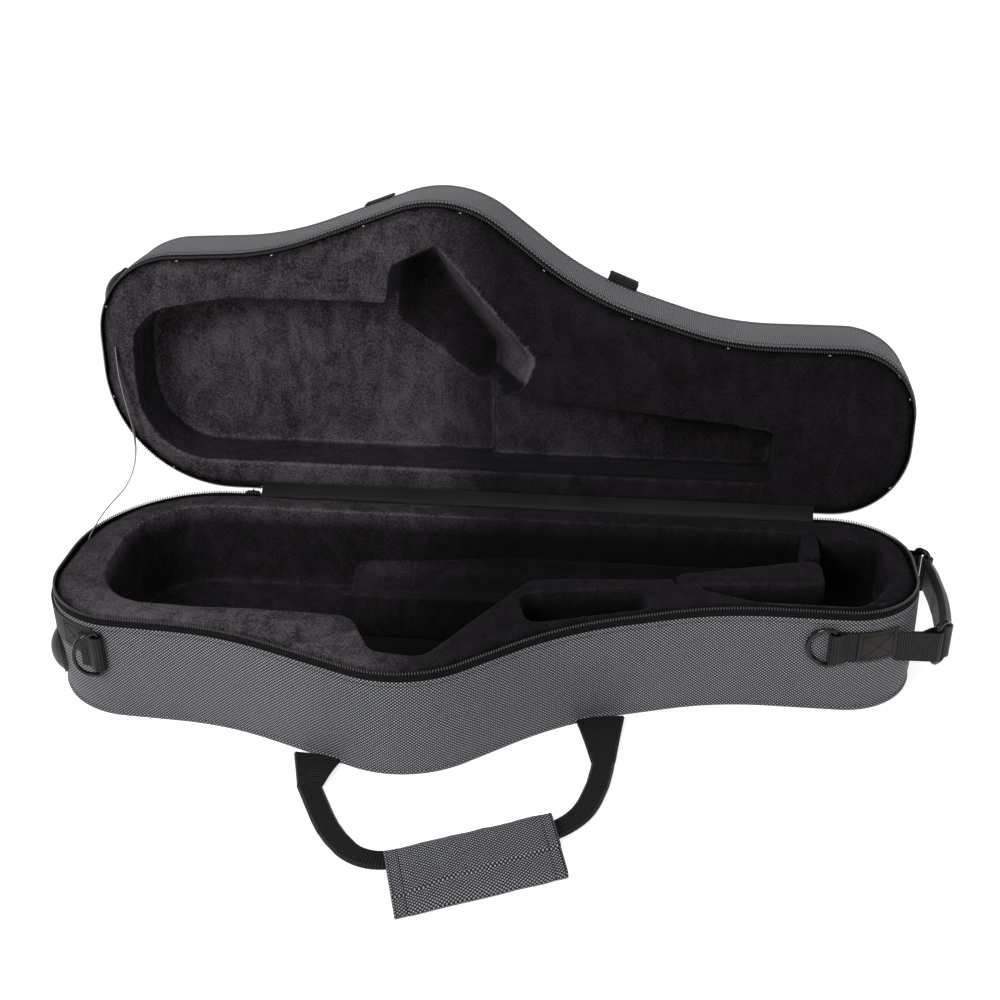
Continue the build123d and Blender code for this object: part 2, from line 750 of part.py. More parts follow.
# End handle
front_clip, rear_clip = clip_places()
front_wall = wall_plane(0, x_share=web_root_share)
rear_wall = wall_plane(0, x_share=web_rear_root_share, first=False)
patch_x = (patch_start_share * half_length, patch_end_share * half_length)
patch_y = (front_y, hinge_y - case_depth / 3)
parts["front_anchor_patch"] = wall_band(
    (patch_x[0], patch_y[0]), (patch_x[1], patch_y[1]), band_low, band_high, 1)
rear_y = (hinge_y - case_depth / 3, hinge_y + wall_inset)
parts["rear_anchor_patch"] = wall_band(
    (patch_x[0], rear_y[0]), (patch_x[1], rear_y[1]), band_low, band_high, 0)
parts["end_web_front"] = end_web(front_wall.origin, front_clip[0], 1, 2)
parts["end_web_rear"] = end_web(rear_wall.origin, rear_clip[0], -1, 1)
parts["end_clip_front"] = end_clip(*front_clip)
parts["end_clip_rear"] = end_clip(*rear_clip)
parts["end_grip"] = end_grip(front_clip[1], rear_clip[1])

# Zip sliders and their pulls
for name, share in (("left", left_slider_share), ("right", right_slider_share)):
    parts[name + "_slider"] = slider(share)
    parts[name + "_pull"] = slider_pull(share)

parts["stay_ribbon"] = stay_ribbon()

os.makedirs("parts", exist_ok=True)
for name, part in parts.items():
    part.label = name
    export_step(part, "parts/" + name + ".step")
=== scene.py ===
import math

import bmesh
import bpy
import numpy as np
from mathutils import Matrix, Vector, noise
from mathutils.kdtree import KDTree


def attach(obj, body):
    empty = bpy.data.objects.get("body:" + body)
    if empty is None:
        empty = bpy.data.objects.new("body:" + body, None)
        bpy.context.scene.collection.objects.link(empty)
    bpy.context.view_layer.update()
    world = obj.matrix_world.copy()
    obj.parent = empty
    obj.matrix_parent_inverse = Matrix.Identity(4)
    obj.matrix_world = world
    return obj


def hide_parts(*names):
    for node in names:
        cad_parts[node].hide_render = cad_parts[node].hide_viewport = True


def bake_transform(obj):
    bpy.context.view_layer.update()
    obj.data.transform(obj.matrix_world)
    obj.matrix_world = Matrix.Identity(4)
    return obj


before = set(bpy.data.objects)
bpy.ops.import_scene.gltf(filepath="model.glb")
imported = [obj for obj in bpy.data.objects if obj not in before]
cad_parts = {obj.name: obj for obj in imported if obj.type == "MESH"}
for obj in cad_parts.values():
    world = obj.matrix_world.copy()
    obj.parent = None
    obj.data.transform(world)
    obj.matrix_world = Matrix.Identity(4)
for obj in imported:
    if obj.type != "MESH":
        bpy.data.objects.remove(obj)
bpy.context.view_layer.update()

# The case as the part draws it, in metres: the base stands on the floor, the lid is turned over on to it
# and swung open about the hinge. X runs to the narrow end, Y to the hinge, Z up.
caseShape = {
    "length": 0.670, "depth": 0.250, "baseHeight": 0.090, "lidHeight": 0.068, "openAngle": 95.0,
    "cornerShares": [(-1, 0), (-1, 0.80), (-0.555, 0.828), (-0.11, 1.048),
                     (0.206, 0.716), (0.546, 0.57), (1, 0.57), (1, 0)],
    "radiusShares": [0.42, 0.28, 1.0, 0.34, 1.0, 1.0, 0.232, 0.248],
    "step": 0.0026,
}
halfLength = caseShape["length"] / 2
hingeY = caseShape["depth"] / 2
baseHeight = caseShape["baseHeight"]
lidHeight = caseShape["lidHeight"]
upward = Vector((0, 0, 1))
hingePoint = Vector((0, hingeY, baseHeight))

swingOpen = (Matrix.Translation(hingePoint) @ Matrix.Rotation(-math.radians(caseShape["openAngle"]), 4, "X")
             @ Matrix.Translation(-hingePoint))
turnOver = Matrix.Translation((0, 0, baseHeight + lidHeight)) @ Matrix.Diagonal((1, 1, -1, 1))
drawnLid = swingOpen @ turnOver


def place(xShare, depthShare, z=0.0):
    return Vector((xShare * halfLength, hingeY - depthShare * caseShape["depth"], z))


def fitRadii(points, radii, closed=True):
    # No rounding takes more than its part of the two sides beside it
    count = len(points)
    sides = [points[(i + 1) % count] - points[i] for i in range(count)]
    turns = [sides[i - 1].angle(sides[i]) if closed or 0 < i < count - 1 else 0.0 for i in range(count)]
    reach = [radii[i] * math.tan(turns[i] / 2) for i in range(count)]
    spare = [1.0] * count
    for i in range(count if closed else count - 1):
        wanted = reach[i] + reach[(i + 1) % count]
        if wanted > 0.98 * sides[i].length:
            spare[i] = 0.98 * sides[i].length / wanted
    return [radii[i] * min(spare[i - 1], spare[i]) for i in range(count)]


def roundCorners(points, radii, closed=False, turnStep=0.12):
    made = []
    count = len(points)
    for i, point in enumerate(points):
        if radii[i] <= 0 or (not closed and i in (0, count - 1)):
            made.append(point.copy())
            continue
        a = (points[i - 1] - point).normalized()
        b = (points[(i + 1) % count] - point).normalized()
        half = a.angle(b) / 2
        turn = math.pi - 2 * half
        centre = point + (a + b).normalized() * (radii[i] / math.sin(half))
        start = point + a * (radii[i] / math.tan(half)) - centre
        stop = point + b * (radii[i] / math.tan(half)) - centre
        steps = max(2, math.ceil(turn / turnStep))
        for k in range(steps + 1):
            t = k / steps
            made.append(centre + (start * math.sin((1 - t) * turn)
                                  + stop * math.sin(t * turn)) / math.sin(turn))
    return made


def evenly(points, step, closed=False):
    # The same line with its points an even step apart
    line = np.array([list(p) for p in (points + points[:1] if closed else points)])
    lengths = np.concatenate([[0], np.cumsum(np.linalg.norm(np.diff(line, axis=0), axis=1))])
    count = max(2, int(round(lengths[-1] / step)))
    at = np.linspace(0, lengths[-1], count + 1)
    if closed:
        at = at[:-1]
    return np.stack([np.interp(at, lengths, line[:, k]) for k in range(line.shape[1])],
                    axis=1), at, lengths[-1]


def makeOutline():
    corners = [place(*shares) for shares in caseShape["cornerShares"]]
    radii = fitRadii(corners, [share * caseShape["depth"] for share in caseShape["radiusShares"]])
    points, at, total = evenly(roundCorners(corners, radii, True, 0.03), caseShape["step"], True)
    along = np.roll(points, -1, axis=0) - np.roll(points, 1, axis=0)
    along /= np.linalg.norm(along, axis=1)[:, None]
    outward = np.stack([along[:, 1], -along[:, 0], np.zeros(len(along))], axis=1)
    return {"points": points, "outward": outward, "at": at, "total": total}


outline = makeOutline()


def onOutline(at):
    # Point and outward direction at running lengths that may pass the end of the loop
    at = np.asarray(at, float)
    point = np.stack([np.interp(at, outline["at"], outline["points"][:, k], period=outline["total"])
                      for k in range(3)], axis=-1)
    outward = np.stack([np.interp(at, outline["at"], outline["outward"][:, k], period=outline["total"])
                        for k in range(3)], axis=-1)
    return point, outward / np.linalg.norm(outward, axis=-1, keepdims=True)


def lengthAt(x=None, y=None, front=True):
    # Running length where the outline crosses a line of even x or y
    # front takes the first crossing from the front or left
    line = outline["points"][:, 0] - x if x is not None else outline["points"][:, 1] - y
    other = outline["points"][:, 1] if x is not None else outline["points"][:, 0]
    hits = [i for i in range(len(line)) if line[i] * line[(i + 1) % len(line)] <= 0]
    hits.sort(key=lambda i: other[i])
    i = hits[0] if front else hits[-1]
    share = abs(line[i]) / max(1e-9, abs(line[i]) + abs(line[(i + 1) % len(line)]))
    return outline["at"][i] + share * outline["total"] / len(line)


def wallFrame(z, x=None, y=None, front=True):
    point, outward = onOutline(lengthAt(x, y, front))
    outward = Vector(outward)
    return Vector(point) + upward * z, upward.cross(outward), outward


def onWall(at, z, lift=0.0):
    point, outward = onOutline(at)
    return Vector(point + outward * lift) + upward * z


# Meshes

def linked(name, data):
    obj = bpy.data.objects.new(name, data)
    bpy.context.scene.collection.objects.link(obj)
    return obj


def mergedMesh(source):
    # Copy of a solid's mesh with its split corners joined
    mesh = source.data.copy()
    work = bmesh.new()
    work.from_mesh(mesh)
    bmesh.ops.remove_doubles(work, verts=work.verts, dist=1e-5)
    work.to_mesh(mesh)
    work.free()
    return mesh


def circleAt(x, y, radius, count):
    turns = np.linspace(0, 2 * math.pi, count + 1)[:-1]
    return [(x + radius * math.cos(a), y + radius * math.sin(a)) for a in turns]


def alongAt(path, i):
    return path[min(i + 1, len(path) - 1)] - path[max(i - 1, 0)]


def shaded(obj, angle=40):
    obj.data.shade_smooth()
    obj.data.set_sharp_from_angle(angle=math.radians(angle))
    return obj


def gridPiece(name, rows, closedU=False, closedV=True, u=None, v=None, caps=True, angle=40):
    # Skin over rows of points, with a flat map in metres along and across
    rows = np.asarray(rows, float)
    countU, countV = rows.shape[:2]
    stepsU = countU if closedU else countU - 1
    stepsV = countV if closedV else countV - 1
    if u is None:
        ring = np.linalg.norm(np.diff(np.concatenate([rows, rows[:1]]).mean(axis=1), axis=0), axis=1)
        u = np.concatenate([[0], np.cumsum(ring)])
    if v is None:
        ring = np.linalg.norm(np.diff(np.concatenate([rows[0], rows[0][:1]]), axis=0), axis=1)
        v = np.concatenate([[0], np.cumsum(ring)])
    i, j = np.meshgrid(np.arange(stepsU), np.arange(stepsV), indexing="ij")
    i2, j2 = (i + 1) % countU, (j + 1) % countV
    quads = np.stack([i * countV + j, i2 * countV + j, i2 * countV + j2, i * countV + j2],
                     axis=-1).reshape(-1, 4)
    corners = [(i, j), (i + 1, j), (i + 1, j + 1), (i, j + 1)]
    flat = np.stack([np.stack([u[a], v[b]], axis=-1) for a, b in corners], axis=2).reshape(-1, 2)
    faces = quads.tolist()
    flat = flat.tolist()
    if caps and not closedU and closedV:
        for row, order in ((0, range(countV)), (countU - 1, range(countV - 1, -1, -1))):
            faces.append([row * countV + k for k in order])
            flat += [[u[row] + 0.001, v[k]] for k in order]
    mesh = bpy.data.meshes.new(name)
    mesh.from_pydata(rows.reshape(-1, 3).tolist(), [], faces)
    layer = mesh.uv_layers.new(name="flat")
    layer.data.foreach_set("uv", np.array(flat, np.float32).ravel())
    obj = linked(name, mesh)
    work = bmesh.new()
    work.from_mesh(mesh)
    bmesh.ops.recalc_face_normals(work, faces=work.faces)
    work.to_mesh(mesh)
    work.free()
    return shaded(obj, angle)


def ringPiece(name, profile, span=None, wobble=0.0, angle=40):
    # A closed section swept round the case; the section is given as (inset from the outline, height)
    if span is None:
        at, closed = outline["at"], True
        u = np.concatenate([at, [outline["total"]]])
    else:
        at, closed = np.linspace(span[0], span[1],
                                 max(3, int(abs(span[1] - span[0]) / caseShape["step"]))), False
        u = at
    point, outward = onOutline(at)
    section = np.array(profile, float)
    rows = point[:, None, :] - outward[:, None, :] * section[None, :, :1]
    rows[:, :, 2] += section[None, :, 1]
    if wobble:
        for row, out in zip(rows, outward):
            for k, p in enumerate(row):
                row[k] = p + out * (wobble * noise.noise(Vector(p) * 16))
    return gridPiece(name, rows, closedU=closed, u=u, angle=angle)


def roundedBox(inner, outer, low, high, bend):
    # Section between two insets and two heights with rounded corners
    corners = [Vector((inner, low, 0)), Vector((outer, low, 0)), Vector((outer, high, 0)),
               Vector((inner, high, 0))]
    return [(p.x, p.y) for p in roundCorners(corners, [bend] * 4, True, 0.8)]


def bandPiece(name, path, across, width, thickness, lanes=4, edge=0.5, wrinkle=0.0, angle=50):
    # Flat strip along a line; across and width may change along it
    path = [Vector(p) for p in path]
    count = len(path)
    if not isinstance(across, (list, tuple)):
        across = [across] * count
    across = [Vector(a).normalized() for a in across]
    widths = width if isinstance(width, (list, tuple)) else [width] * count
    thick = thickness if isinstance(thickness, (list, tuple)) else [thickness] * count
    rows = []
    for i, p in enumerate(path):
        along = alongAt(path, i).normalized()
        normal = along.cross(across[i]).normalized()
        side = normal.cross(along).normalized()
        row = []
        half, rise = widths[i] / 2, thick[i] / 2
        for k in range(lanes + 1):
            t = -1 + 2 * k / lanes
            row.append(p + side * (t * (half - rise * edge)) + normal * rise)
        row.append(p + side * half)
        for k in range(lanes + 1):
            t = 1 - 2 * k / lanes
            row.append(p + side * (t * (half - rise * edge)) - normal * rise)
        row.append(p - side * half)
        if wrinkle:
            row = [q + normal * (wrinkle * noise.noise(q * 60)) for q in row]
        rows.append([list(q) for q in row])
    return gridPiece(name, rows, angle=angle)


def cutLine(points, radii, step=0.003):
    rounded = roundCorners(points, radii)
    line, at, total = evenly(rounded, step)
    return [Vector(p) for p in line]


def toLid(obj, matrix=None):
    obj.data.transform(matrix or drawnLid)
    if (matrix or drawnLid).determinant() < 0:
        obj.data.flip_normals()
    return obj


def evaluated(obj):
    # Its modifiers worked into a plain mesh
    bpy.context.view_layer.update()
    graph = bpy.context.evaluated_depsgraph_get()
    mesh = bpy.data.meshes.new_from_object(obj.evaluated_get(graph))
    obj.modifiers.clear()
    obj.data = mesh
    return obj


def dressed(obj, material, body, replaces=(), blend=None):
    obj.data.materials.clear()
    obj.data.materials.append(material)
    if blend:
        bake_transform(obj)
    else:
        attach(obj, body)
    if replaces:
        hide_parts(*replaces)
    return obj


# Materials: arithmetic on sockets reads as arithmetic

class Wire:
    def __init__(self, finish, socket):
        self.finish, self.socket = finish, socket

    def math(self, operation, *others):
        return self.finish.node("ShaderNodeMath", {"operation": operation}, dict(enumerate([self, *others])))

    def __add__(self, other):
        return self.math("ADD", other)

    def __radd__(self, other):
        return self.math("ADD", other)

    def __sub__(self, other):
        return self.math("SUBTRACT", other)

    def __rsub__(self, other):
        return self.math("MULTIPLY", -1.0) + other

    def __mul__(self, other):
        return self.math("MULTIPLY", other)

    def __rmul__(self, other):
        return self.math("MULTIPLY", other)

    def __truediv__(self, other):
        return self.math("DIVIDE", other)

    def cos(self):
        return self.math("COSINE")

    def abs(self):
        return self.math("ABSOLUTE")

    def clamp(self):
        return self.math("MAXIMUM", 0.0).math("MINIMUM", 1.0)

    def ease(self, low, high):
        return self.finish.node("ShaderNodeMapRange", {"interpolation_type": "SMOOTHSTEP"},
                                {"Value": self, "From Min": low, "From Max": high})


class Finish:
    def __init__(self, name):
        self.material = bpy.data.materials.new(name)
        self.material.use_nodes = True
        self.tree = self.material.node_tree
        self.tree.nodes.clear()

    def node(self, kind, settings=None, inputs=None, output=0):
        made = self.tree.nodes.new(kind)
        for key, value in (settings or {}).items():
            setattr(made, key, value)
        for key, value in (inputs or {}).items():
            if isinstance(value, Wire):
                self.tree.links.new(value.socket, made.inputs[key])
            else:
                made.inputs[key].default_value = value
        return Wire(self, made.outputs[output])

    def flatMap(self):
        whole = self.node("ShaderNodeUVMap", {"uv_map": "flat"})
        return [self.node("ShaderNodeSeparateXYZ", {}, {0: whole}, k) for k in (0, 1)]

    def own(self):
        return self.node("ShaderNodeTexCoord", {}, {}, "Object")

    def cloud(self, scale, detail=2.0, stretch=None, roughness=0.5, distortion=0.0):
        where = self.own()
        if stretch:
            where = self.node("ShaderNodeMapping", {}, {"Vector": where, "Scale": stretch})
        return self.node("ShaderNodeTexNoise", {}, {"Vector": where, "Scale": scale, "Detail": detail,
                                                    "Roughness": roughness, "Distortion": distortion})

    def mix(self, share, low, high):
        return self.node("ShaderNodeMix", {"data_type": "RGBA"},
                         {0: share, 6: (*low, 1) if isinstance(low, tuple) else low,
                          7: (*high, 1) if isinstance(high, tuple) else high}, 2)

    def bump(self, height, distance, strength=1.0):
        return self.node("ShaderNodeBump", {}, {"Height": height, "Distance": distance, "Strength": strength})

    def surface(self, **sockets):
        names = {key.replace("_", " "): value for key, value in sockets.items()}
        made = self.node("ShaderNodeBsdfPrincipled", {}, names)
        output = self.tree.nodes.new("ShaderNodeOutputMaterial")
        self.tree.links.new(made.socket, output.inputs[0])
        return self.material


def colour(values):
    return (*values, 1)


wovenLook = {"pitch": 0.0030, "rise": 0.0025, "ground": (0.012, 0.012, 0.015), "dot": (0.42, 0.43, 0.465),
             "dotLow": 0.10, "dotHigh": 0.62, "relief": 0.00030}


def wovenFinish(name="wovenCover"):
    f = Finish(name)
    u, v = f.flatMap()
    turn = 2 * math.pi
    waves = (u * (turn / wovenLook["pitch"])).cos() * (v * (turn / wovenLook["rise"])).cos()
    threads = f.cloud(420.0, 1.0)
    dots = waves.ease(wovenLook["dotLow"], wovenLook["dotHigh"])
    shade = dots * (0.62 + 0.7 * threads)
    patch = f.cloud(14.0, 3.0)
    lit = f.mix(shade.clamp(), wovenLook["ground"], wovenLook["dot"])
    worn = f.mix(((patch - 0.5) * 0.5).clamp(), lit, (0.02, 0.02, 0.024))
    return f.surface(Base_Color=worn, Roughness=0.75 - 0.25 * dots, Sheen_Weight=0.12, Sheen_Roughness=0.4,
                     Specular_IOR_Level=0.35, Normal=f.bump(waves * 0.5 + threads * 0.25,
                                                            wovenLook["relief"]))


plushLook = {"dark": (0.0042, 0.0036, 0.0042), "light": (0.112, 0.098, 0.112), "brush": 9.0, "stroke": 60.0,
             "pile": 700.0}


def plushFinish(name="plush"):
    # The point attribute holds painted light and shade on the pile, from 0 to 1
    f = Finish(name)
    paintedLight = f.node("ShaderNodeAttribute", {"attribute_name": "paintedLight"}, {}, "Fac")
    brush = f.cloud(plushLook["brush"], 2.0, (1, 1, 0.7), 0.5, 0.6)
    strokes = f.cloud(plushLook["stroke"], 3.0, (1.0, 1.0, 0.6), 0.6, 0.8)
    pile = f.cloud(plushLook["pile"], 3.0, None, 0.75)
    mottle = (0.17 * brush + 0.27 * strokes + 0.56 * pile).ease(0.39, 0.65)
    tone = f.mix((paintedLight * (0.12 + 0.88 * mottle)).clamp(), plushLook["dark"], plushLook["light"])
    return f.surface(Base_Color=tone, Roughness=0.95, Sheen_Weight=0.04, Sheen_Roughness=0.4,
                     Sheen_Tint=colour((0.75, 0.7, 0.8)), Specular_IOR_Level=0.03,
                     Normal=f.bump(strokes * 0.3 + pile * 0.8, 0.0010, 1.0))


webbingLook = {"rib": 0.0021, "wale": 0.0042, "dark": (0.0035, 0.0033, 0.0035),
               "light": (0.034, 0.031, 0.030)}


def webbingFinish(name="webbing"):
    f = Finish(name)
    u, v = f.flatMap()
    turn = 2 * math.pi
    slant = (v * (turn / webbingLook["wale"])).cos()
    ribs = (u * (turn / webbingLook["rib"]) + slant * 0.35).cos() * 0.5 + 0.5
    fuzz = f.cloud(380.0, 2.0)
    tone = f.mix((ribs * (0.35 + 0.65 * fuzz)).clamp(), webbingLook["dark"], webbingLook["light"])
    return f.surface(Base_Color=tone, Roughness=0.50, Specular_IOR_Level=0.16,
                     Normal=f.bump(ribs + slant * 0.15 + fuzz * 0.2, 0.0005))


def tapeFinish(name="zipperTape"):
    f = Finish(name)
    u, v = f.flatMap()
    turn = 2 * math.pi
    lines = (v * (turn / 0.0009) + (u * (turn / 0.0014)).cos() * 0.8).cos() * 0.5 + 0.5
    tone = f.mix(lines * (0.4 + 0.6 * f.cloud(300.0)), (0.003, 0.003, 0.0035), (0.015, 0.014, 0.015))
    return f.surface(Base_Color=tone, Roughness=0.8, Specular_IOR_Level=0.08, Normal=f.bump(lines, 0.0002))


def glossFinish(name, base, roughness, scratch, coat=0.0, metal=0.0, shine=0.5):
    f = Finish(name)
    specks = f.cloud(160.0, 4.0, None, 0.6)
    wear = f.cloud(30.0, 3.0)
    tone = f.mix((wear - 0.5) * 0.6, base, tuple(min(1.0, 2.2 * c + 0.006) for c in base))
    return f.surface(Base_Color=tone, Roughness=roughness + scratch * (specks - 0.5), Metallic=metal,
                     Coat_Weight=coat, Coat_Roughness=0.08, Specular_IOR_Level=shine,
                     Normal=f.bump(specks, 0.00008, 0.4))


def rubberFinish(name="footRubber"):
    f = Finish(name)
    grain = f.cloud(1100.0, 2.0)
    dust = f.cloud(60.0, 4.0).ease(0.5, 0.8)
    tone = f.mix(dust * 0.5, (0.006, 0.006, 0.0065), (0.028, 0.027, 0.026))
    return f.surface(Base_Color=tone, Roughness=0.42 + 0.2 * dust, Specular_IOR_Level=0.3,
                     Normal=f.bump(grain, 0.00012))


def smoothClothFinish(name, dark, light, weave, roughness):
    f = Finish(name)
    u, v = f.flatMap()
    turn = 2 * math.pi / weave
    grid = (u * turn).cos() * (v * turn).cos() * 0.5 + 0.5
    tone = f.mix((0.3 * grid + 0.7 * f.cloud(26.0, 4.0)).ease(0.25, 0.8), dark, light)
    return f.surface(Base_Color=tone, Roughness=roughness, Sheen_Weight=0.05, Specular_IOR_Level=0.2,
                     Normal=f.bump(grid + f.cloud(90.0, 3.0) * 0.6, 0.00022))


woven = wovenFinish()
plush = plushFinish()
webbing = webbingFinish()
tape = tapeFinish()
chainGloss = glossFinish("zipperCoil", (0.060, 0.060, 0.064), 0.36, 0.1, shine=0.4)
ringGloss = glossFinish("ringEnamel", (0.003, 0.003, 0.0033), 0.16, 0.08, shine=0.35)
clipGloss = glossFinish("clipPlastic", (0.0035, 0.0035, 0.0036), 0.22, 0.12, shine=0.35)
studSteel = glossFinish("rimStudSteel", (0.55, 0.53, 0.50), 0.28, 0.1, 0.0, 0.9)
footRubber = rubberFinish()
thread = glossFinish("stitchThread", (0.004, 0.004, 0.0045), 0.5, 0.2, shine=0.2)
gripCloth = smoothClothFinish("gripBand", (0.018, 0.0155, 0.0145), (0.058, 0.051, 0.047), 0.0011, 0.45)
hingeCloth = smoothClothFinish("hingeStrip", (0.006, 0.0055, 0.006), (0.017, 0.0155, 0.017), 0.0010, 0.8)
patchCloth = smoothClothFinish("patchCloth", (0.009, 0.008, 0.0075), (0.030, 0.026, 0.024), 0.0012, 0.6)
ribbonSatin = smoothClothFinish("stayRibbon", (0.26, 0.25, 0.26), (0.50, 0.49, 0.51), 0.0006, 0.35)
print("stage: materials")


# Rows of beads along a line: zipper teeth and stitches

def beadTree():
    tree = bpy.data.node_groups.new("beadRow", "GeometryNodeTree")
    face = tree.interface
    face.new_socket("Line", in_out="INPUT", socket_type="NodeSocketGeometry")
    for label, value in (("Pitch", 0.002), ("Length", 0.001), ("Depth", 0.001), ("Height", 0.001)):
        face.new_socket(label, in_out="INPUT", socket_type="NodeSocketFloat").default_value = value
    face.new_socket("Material", in_out="INPUT", socket_type="NodeSocketMaterial")
    face.new_socket("Beads", in_out="OUTPUT", socket_type="NodeSocketGeometry")
    add, link = tree.nodes.new, tree.links.new
    given, done = add("NodeGroupInput"), add("NodeGroupOutput")
    line = add("GeometryNodeMeshToCurve")
    points = add("GeometryNodeCurveToPoints")
    points.mode = "LENGTH"
    turn = add("FunctionNodeAxesToRotation")
    turn.primary_axis, turn.secondary_axis = "X", "Z"
    bead = add("GeometryNodeMeshUVSphere")
    bead.inputs["Segments"].default_value = 8
    bead.inputs["Rings"].default_value = 4
    bead.inputs["Radius"].default_value = 0.5
    size = add("ShaderNodeCombineXYZ")
    row, whole, smooth, paint = (add("GeometryNodeInstanceOnPoints"), add("GeometryNodeRealizeInstances"),
                                 add("GeometryNodeSetShadeSmooth"), add("GeometryNodeSetMaterial"))
    link(given.outputs["Line"], line.inputs[0])
    link(line.outputs[0], points.inputs["Curve"])
    link(given.outputs["Pitch"], points.inputs["Length"])
    link(points.outputs["Tangent"], turn.inputs["Primary Axis"])
    turn.inputs["Secondary Axis"].default_value = (0, 0, 1)
    for k, label in enumerate(("Length", "Depth", "Height")):
        link(given.outputs[label], size.inputs[k])
    link(points.outputs["Points"], row.inputs["Points"])
    link(bead.outputs["Mesh"], row.inputs["Instance"])
    link(turn.outputs["Rotation"], row.inputs["Rotation"])
    link(size.outputs[0], row.inputs["Scale"])
    link(row.outputs[0], smooth.inputs[0])
    link(smooth.outputs[0], whole.inputs[0])
    link(whole.outputs[0], paint.inputs[0])
    link(given.outputs["Material"], paint.inputs["Material"])
    link(paint.outputs[0], done.inputs[0])
    return tree


beadRow = beadTree()


def beads(name, lines, pitch, size, material):
    mesh = bpy.data.meshes.new(name)
    verts, edges = [], []
    for line in lines:
        edges += [(len(verts) + k, len(verts) + k + 1) for k in range(len(line) - 1)]
        verts += [list(p) for p in line]
    mesh.from_pydata(verts, edges, [])
    obj = linked(name, mesh)
    modifier = obj.modifiers.new("beads", "NODES")
    modifier.node_group = beadRow
    values = {"Pitch": pitch, "Length": size[0], "Depth": size[1], "Height": size[2], "Material": material}
    for item in beadRow.interface.items_tree:
        if item.in_out == "INPUT" and item.name in values:
            modifier[item.identifier] = values[item.name]
    return evaluated(obj)


# Shell of each half

shell = {"weltRadius": 0.0024, "weltProud": 0.0012, "hemDrop": 0.008, "cover": 0.0012, "bulge": 0.0011,
         "wobble": 0.0005, "tapeLow": 0.014, "tapeTop": 0.0026, "rimGap": 0.0002, "chainInset": 0.0017,
         "toothPitch": 0.0021, "tooth": (0.0012, 0.0022, 0.0026), "crown": 0.0028, "stitchDrop": 0.0058,
         "stitchPitch": 0.0026, "stitch": (0.0019, 0.0005, 0.0005), "studPitch": 0.078,
         "stud": (0.0024, 0.0010, 0.0014), "studInset": 0.0040, "studDrop": 0.0004, "hingeLeft": -0.205,
         "hingeRight": 0.245}
zipStart = lengthAt(x=shell["hingeLeft"], front=False)
zipEnd = lengthAt(x=shell["hingeRight"], front=False)
zipSpan = (zipStart - outline["total"] if zipStart > zipEnd else zipStart, zipEnd)


def wallSection(height):
    low, high = 2 * shell["weltRadius"] - 0.0004, height - shell["hemDrop"]
    outer = []
    for k in range(17):
        t = k / 16
        outer.append((-shell["bulge"] * math.sin(math.pi * t) ** 0.7, low + t * (high - low)))
    return outer + [(0.0004, high + 0.0005), (shell["cover"], high), (shell["cover"], low)]


def panelPiece(name, crown):
    # Rings that close in on a flat middle, with the inner side behind it
    insets = [0.0036, 0.0045, 0.006, 0.009, 0.014, 0.021, 0.030, 0.040]
    rise = [crown * (1 - (1 - (d - insets[0]) / (insets[-1] - insets[0])) ** 2.5) for d in insets]
    rows = [(insets[0], shell["cover"])] + [(d, 0.0002 - r) for d, r in zip(insets, rise)]
    point, outward = outline["points"][::2], outline["outward"][::2]
    work = bmesh.new()
    loops = []
    for inset, z in rows:
        loops.append([work.verts.new((p[0] - o[0] * inset, p[1] - o[1] * inset, z))
                      for p, o in zip(point, outward)])
    for a, b in zip(loops, loops[1:]):
        for k in range(len(a)):
            n = (k + 1) % len(a)
            work.faces.new((a[k], b[k], b[n], a[n]))
    work.faces.new(loops[0])
    work.faces.new(loops[-1][::-1])
    bmesh.ops.triangulate(work, faces=[f for f in work.faces if len(f.verts) > 4])
    bmesh.ops.recalc_face_normals(work, faces=work.faces)
    layer = work.loops.layers.uv.new("flat")
    for f in work.faces:
        for corner in f.loops:
            corner[layer].uv = corner.vert.co.xy
    mesh = bpy.data.meshes.new(name)
    work.to_mesh(mesh)
    work.free()
    obj = linked(name, mesh)
    return shaded(obj, 50)


def shellPieces(half, height, crown):
    made = {}
    made["side"] = ringPiece(half + "WovenWall", wallSection(height), wobble=shell["wobble"])
    centre = (shell["weltRadius"] - shell["weltProud"], shell["weltRadius"])
    circle = circleAt(*centre, shell["weltRadius"], 14)
    made["welt"] = ringPiece(half + "Piping", circle)
    made["panel"] = panelPiece(half + "WovenPanel", crown)
    top = height - shell["tapeTop"]
    section = roundedBox(0.0010, 0.0021, height - shell["tapeLow"], top, 0.0004)
    made["tape"] = ringPiece(half + "ZipperTape", section, span=zipSpan)
    at = np.arange(zipSpan[0], zipSpan[1], 0.004)
    level = height - shell["rimGap"] - shell["tooth"][2] / 2
    line = [onWall(s, level, -shell["chainInset"]) for s in at]
    made["teeth"] = beads(half + "ZipperTeeth", [line], shell["toothPitch"], shell["tooth"], chainGloss)
    if half == "lid":
        spots = [onWall(s, height - shell["studDrop"], -shell["studInset"]) for s in at]
        made["studs"] = beads("lidRimStuds", [spots], shell["studPitch"], shell["stud"], studSteel)
    level = height - shell["stitchDrop"]
    rows = [[onWall(s, level, -0.0009) for s in at],
            [onWall(s, height - shell["hemDrop"] - 0.0030, 0.0006) for s in at]]
    made["stitches"] = beads(half + "RimStitches", rows, shell["stitchPitch"], shell["stitch"], thread)
    return made


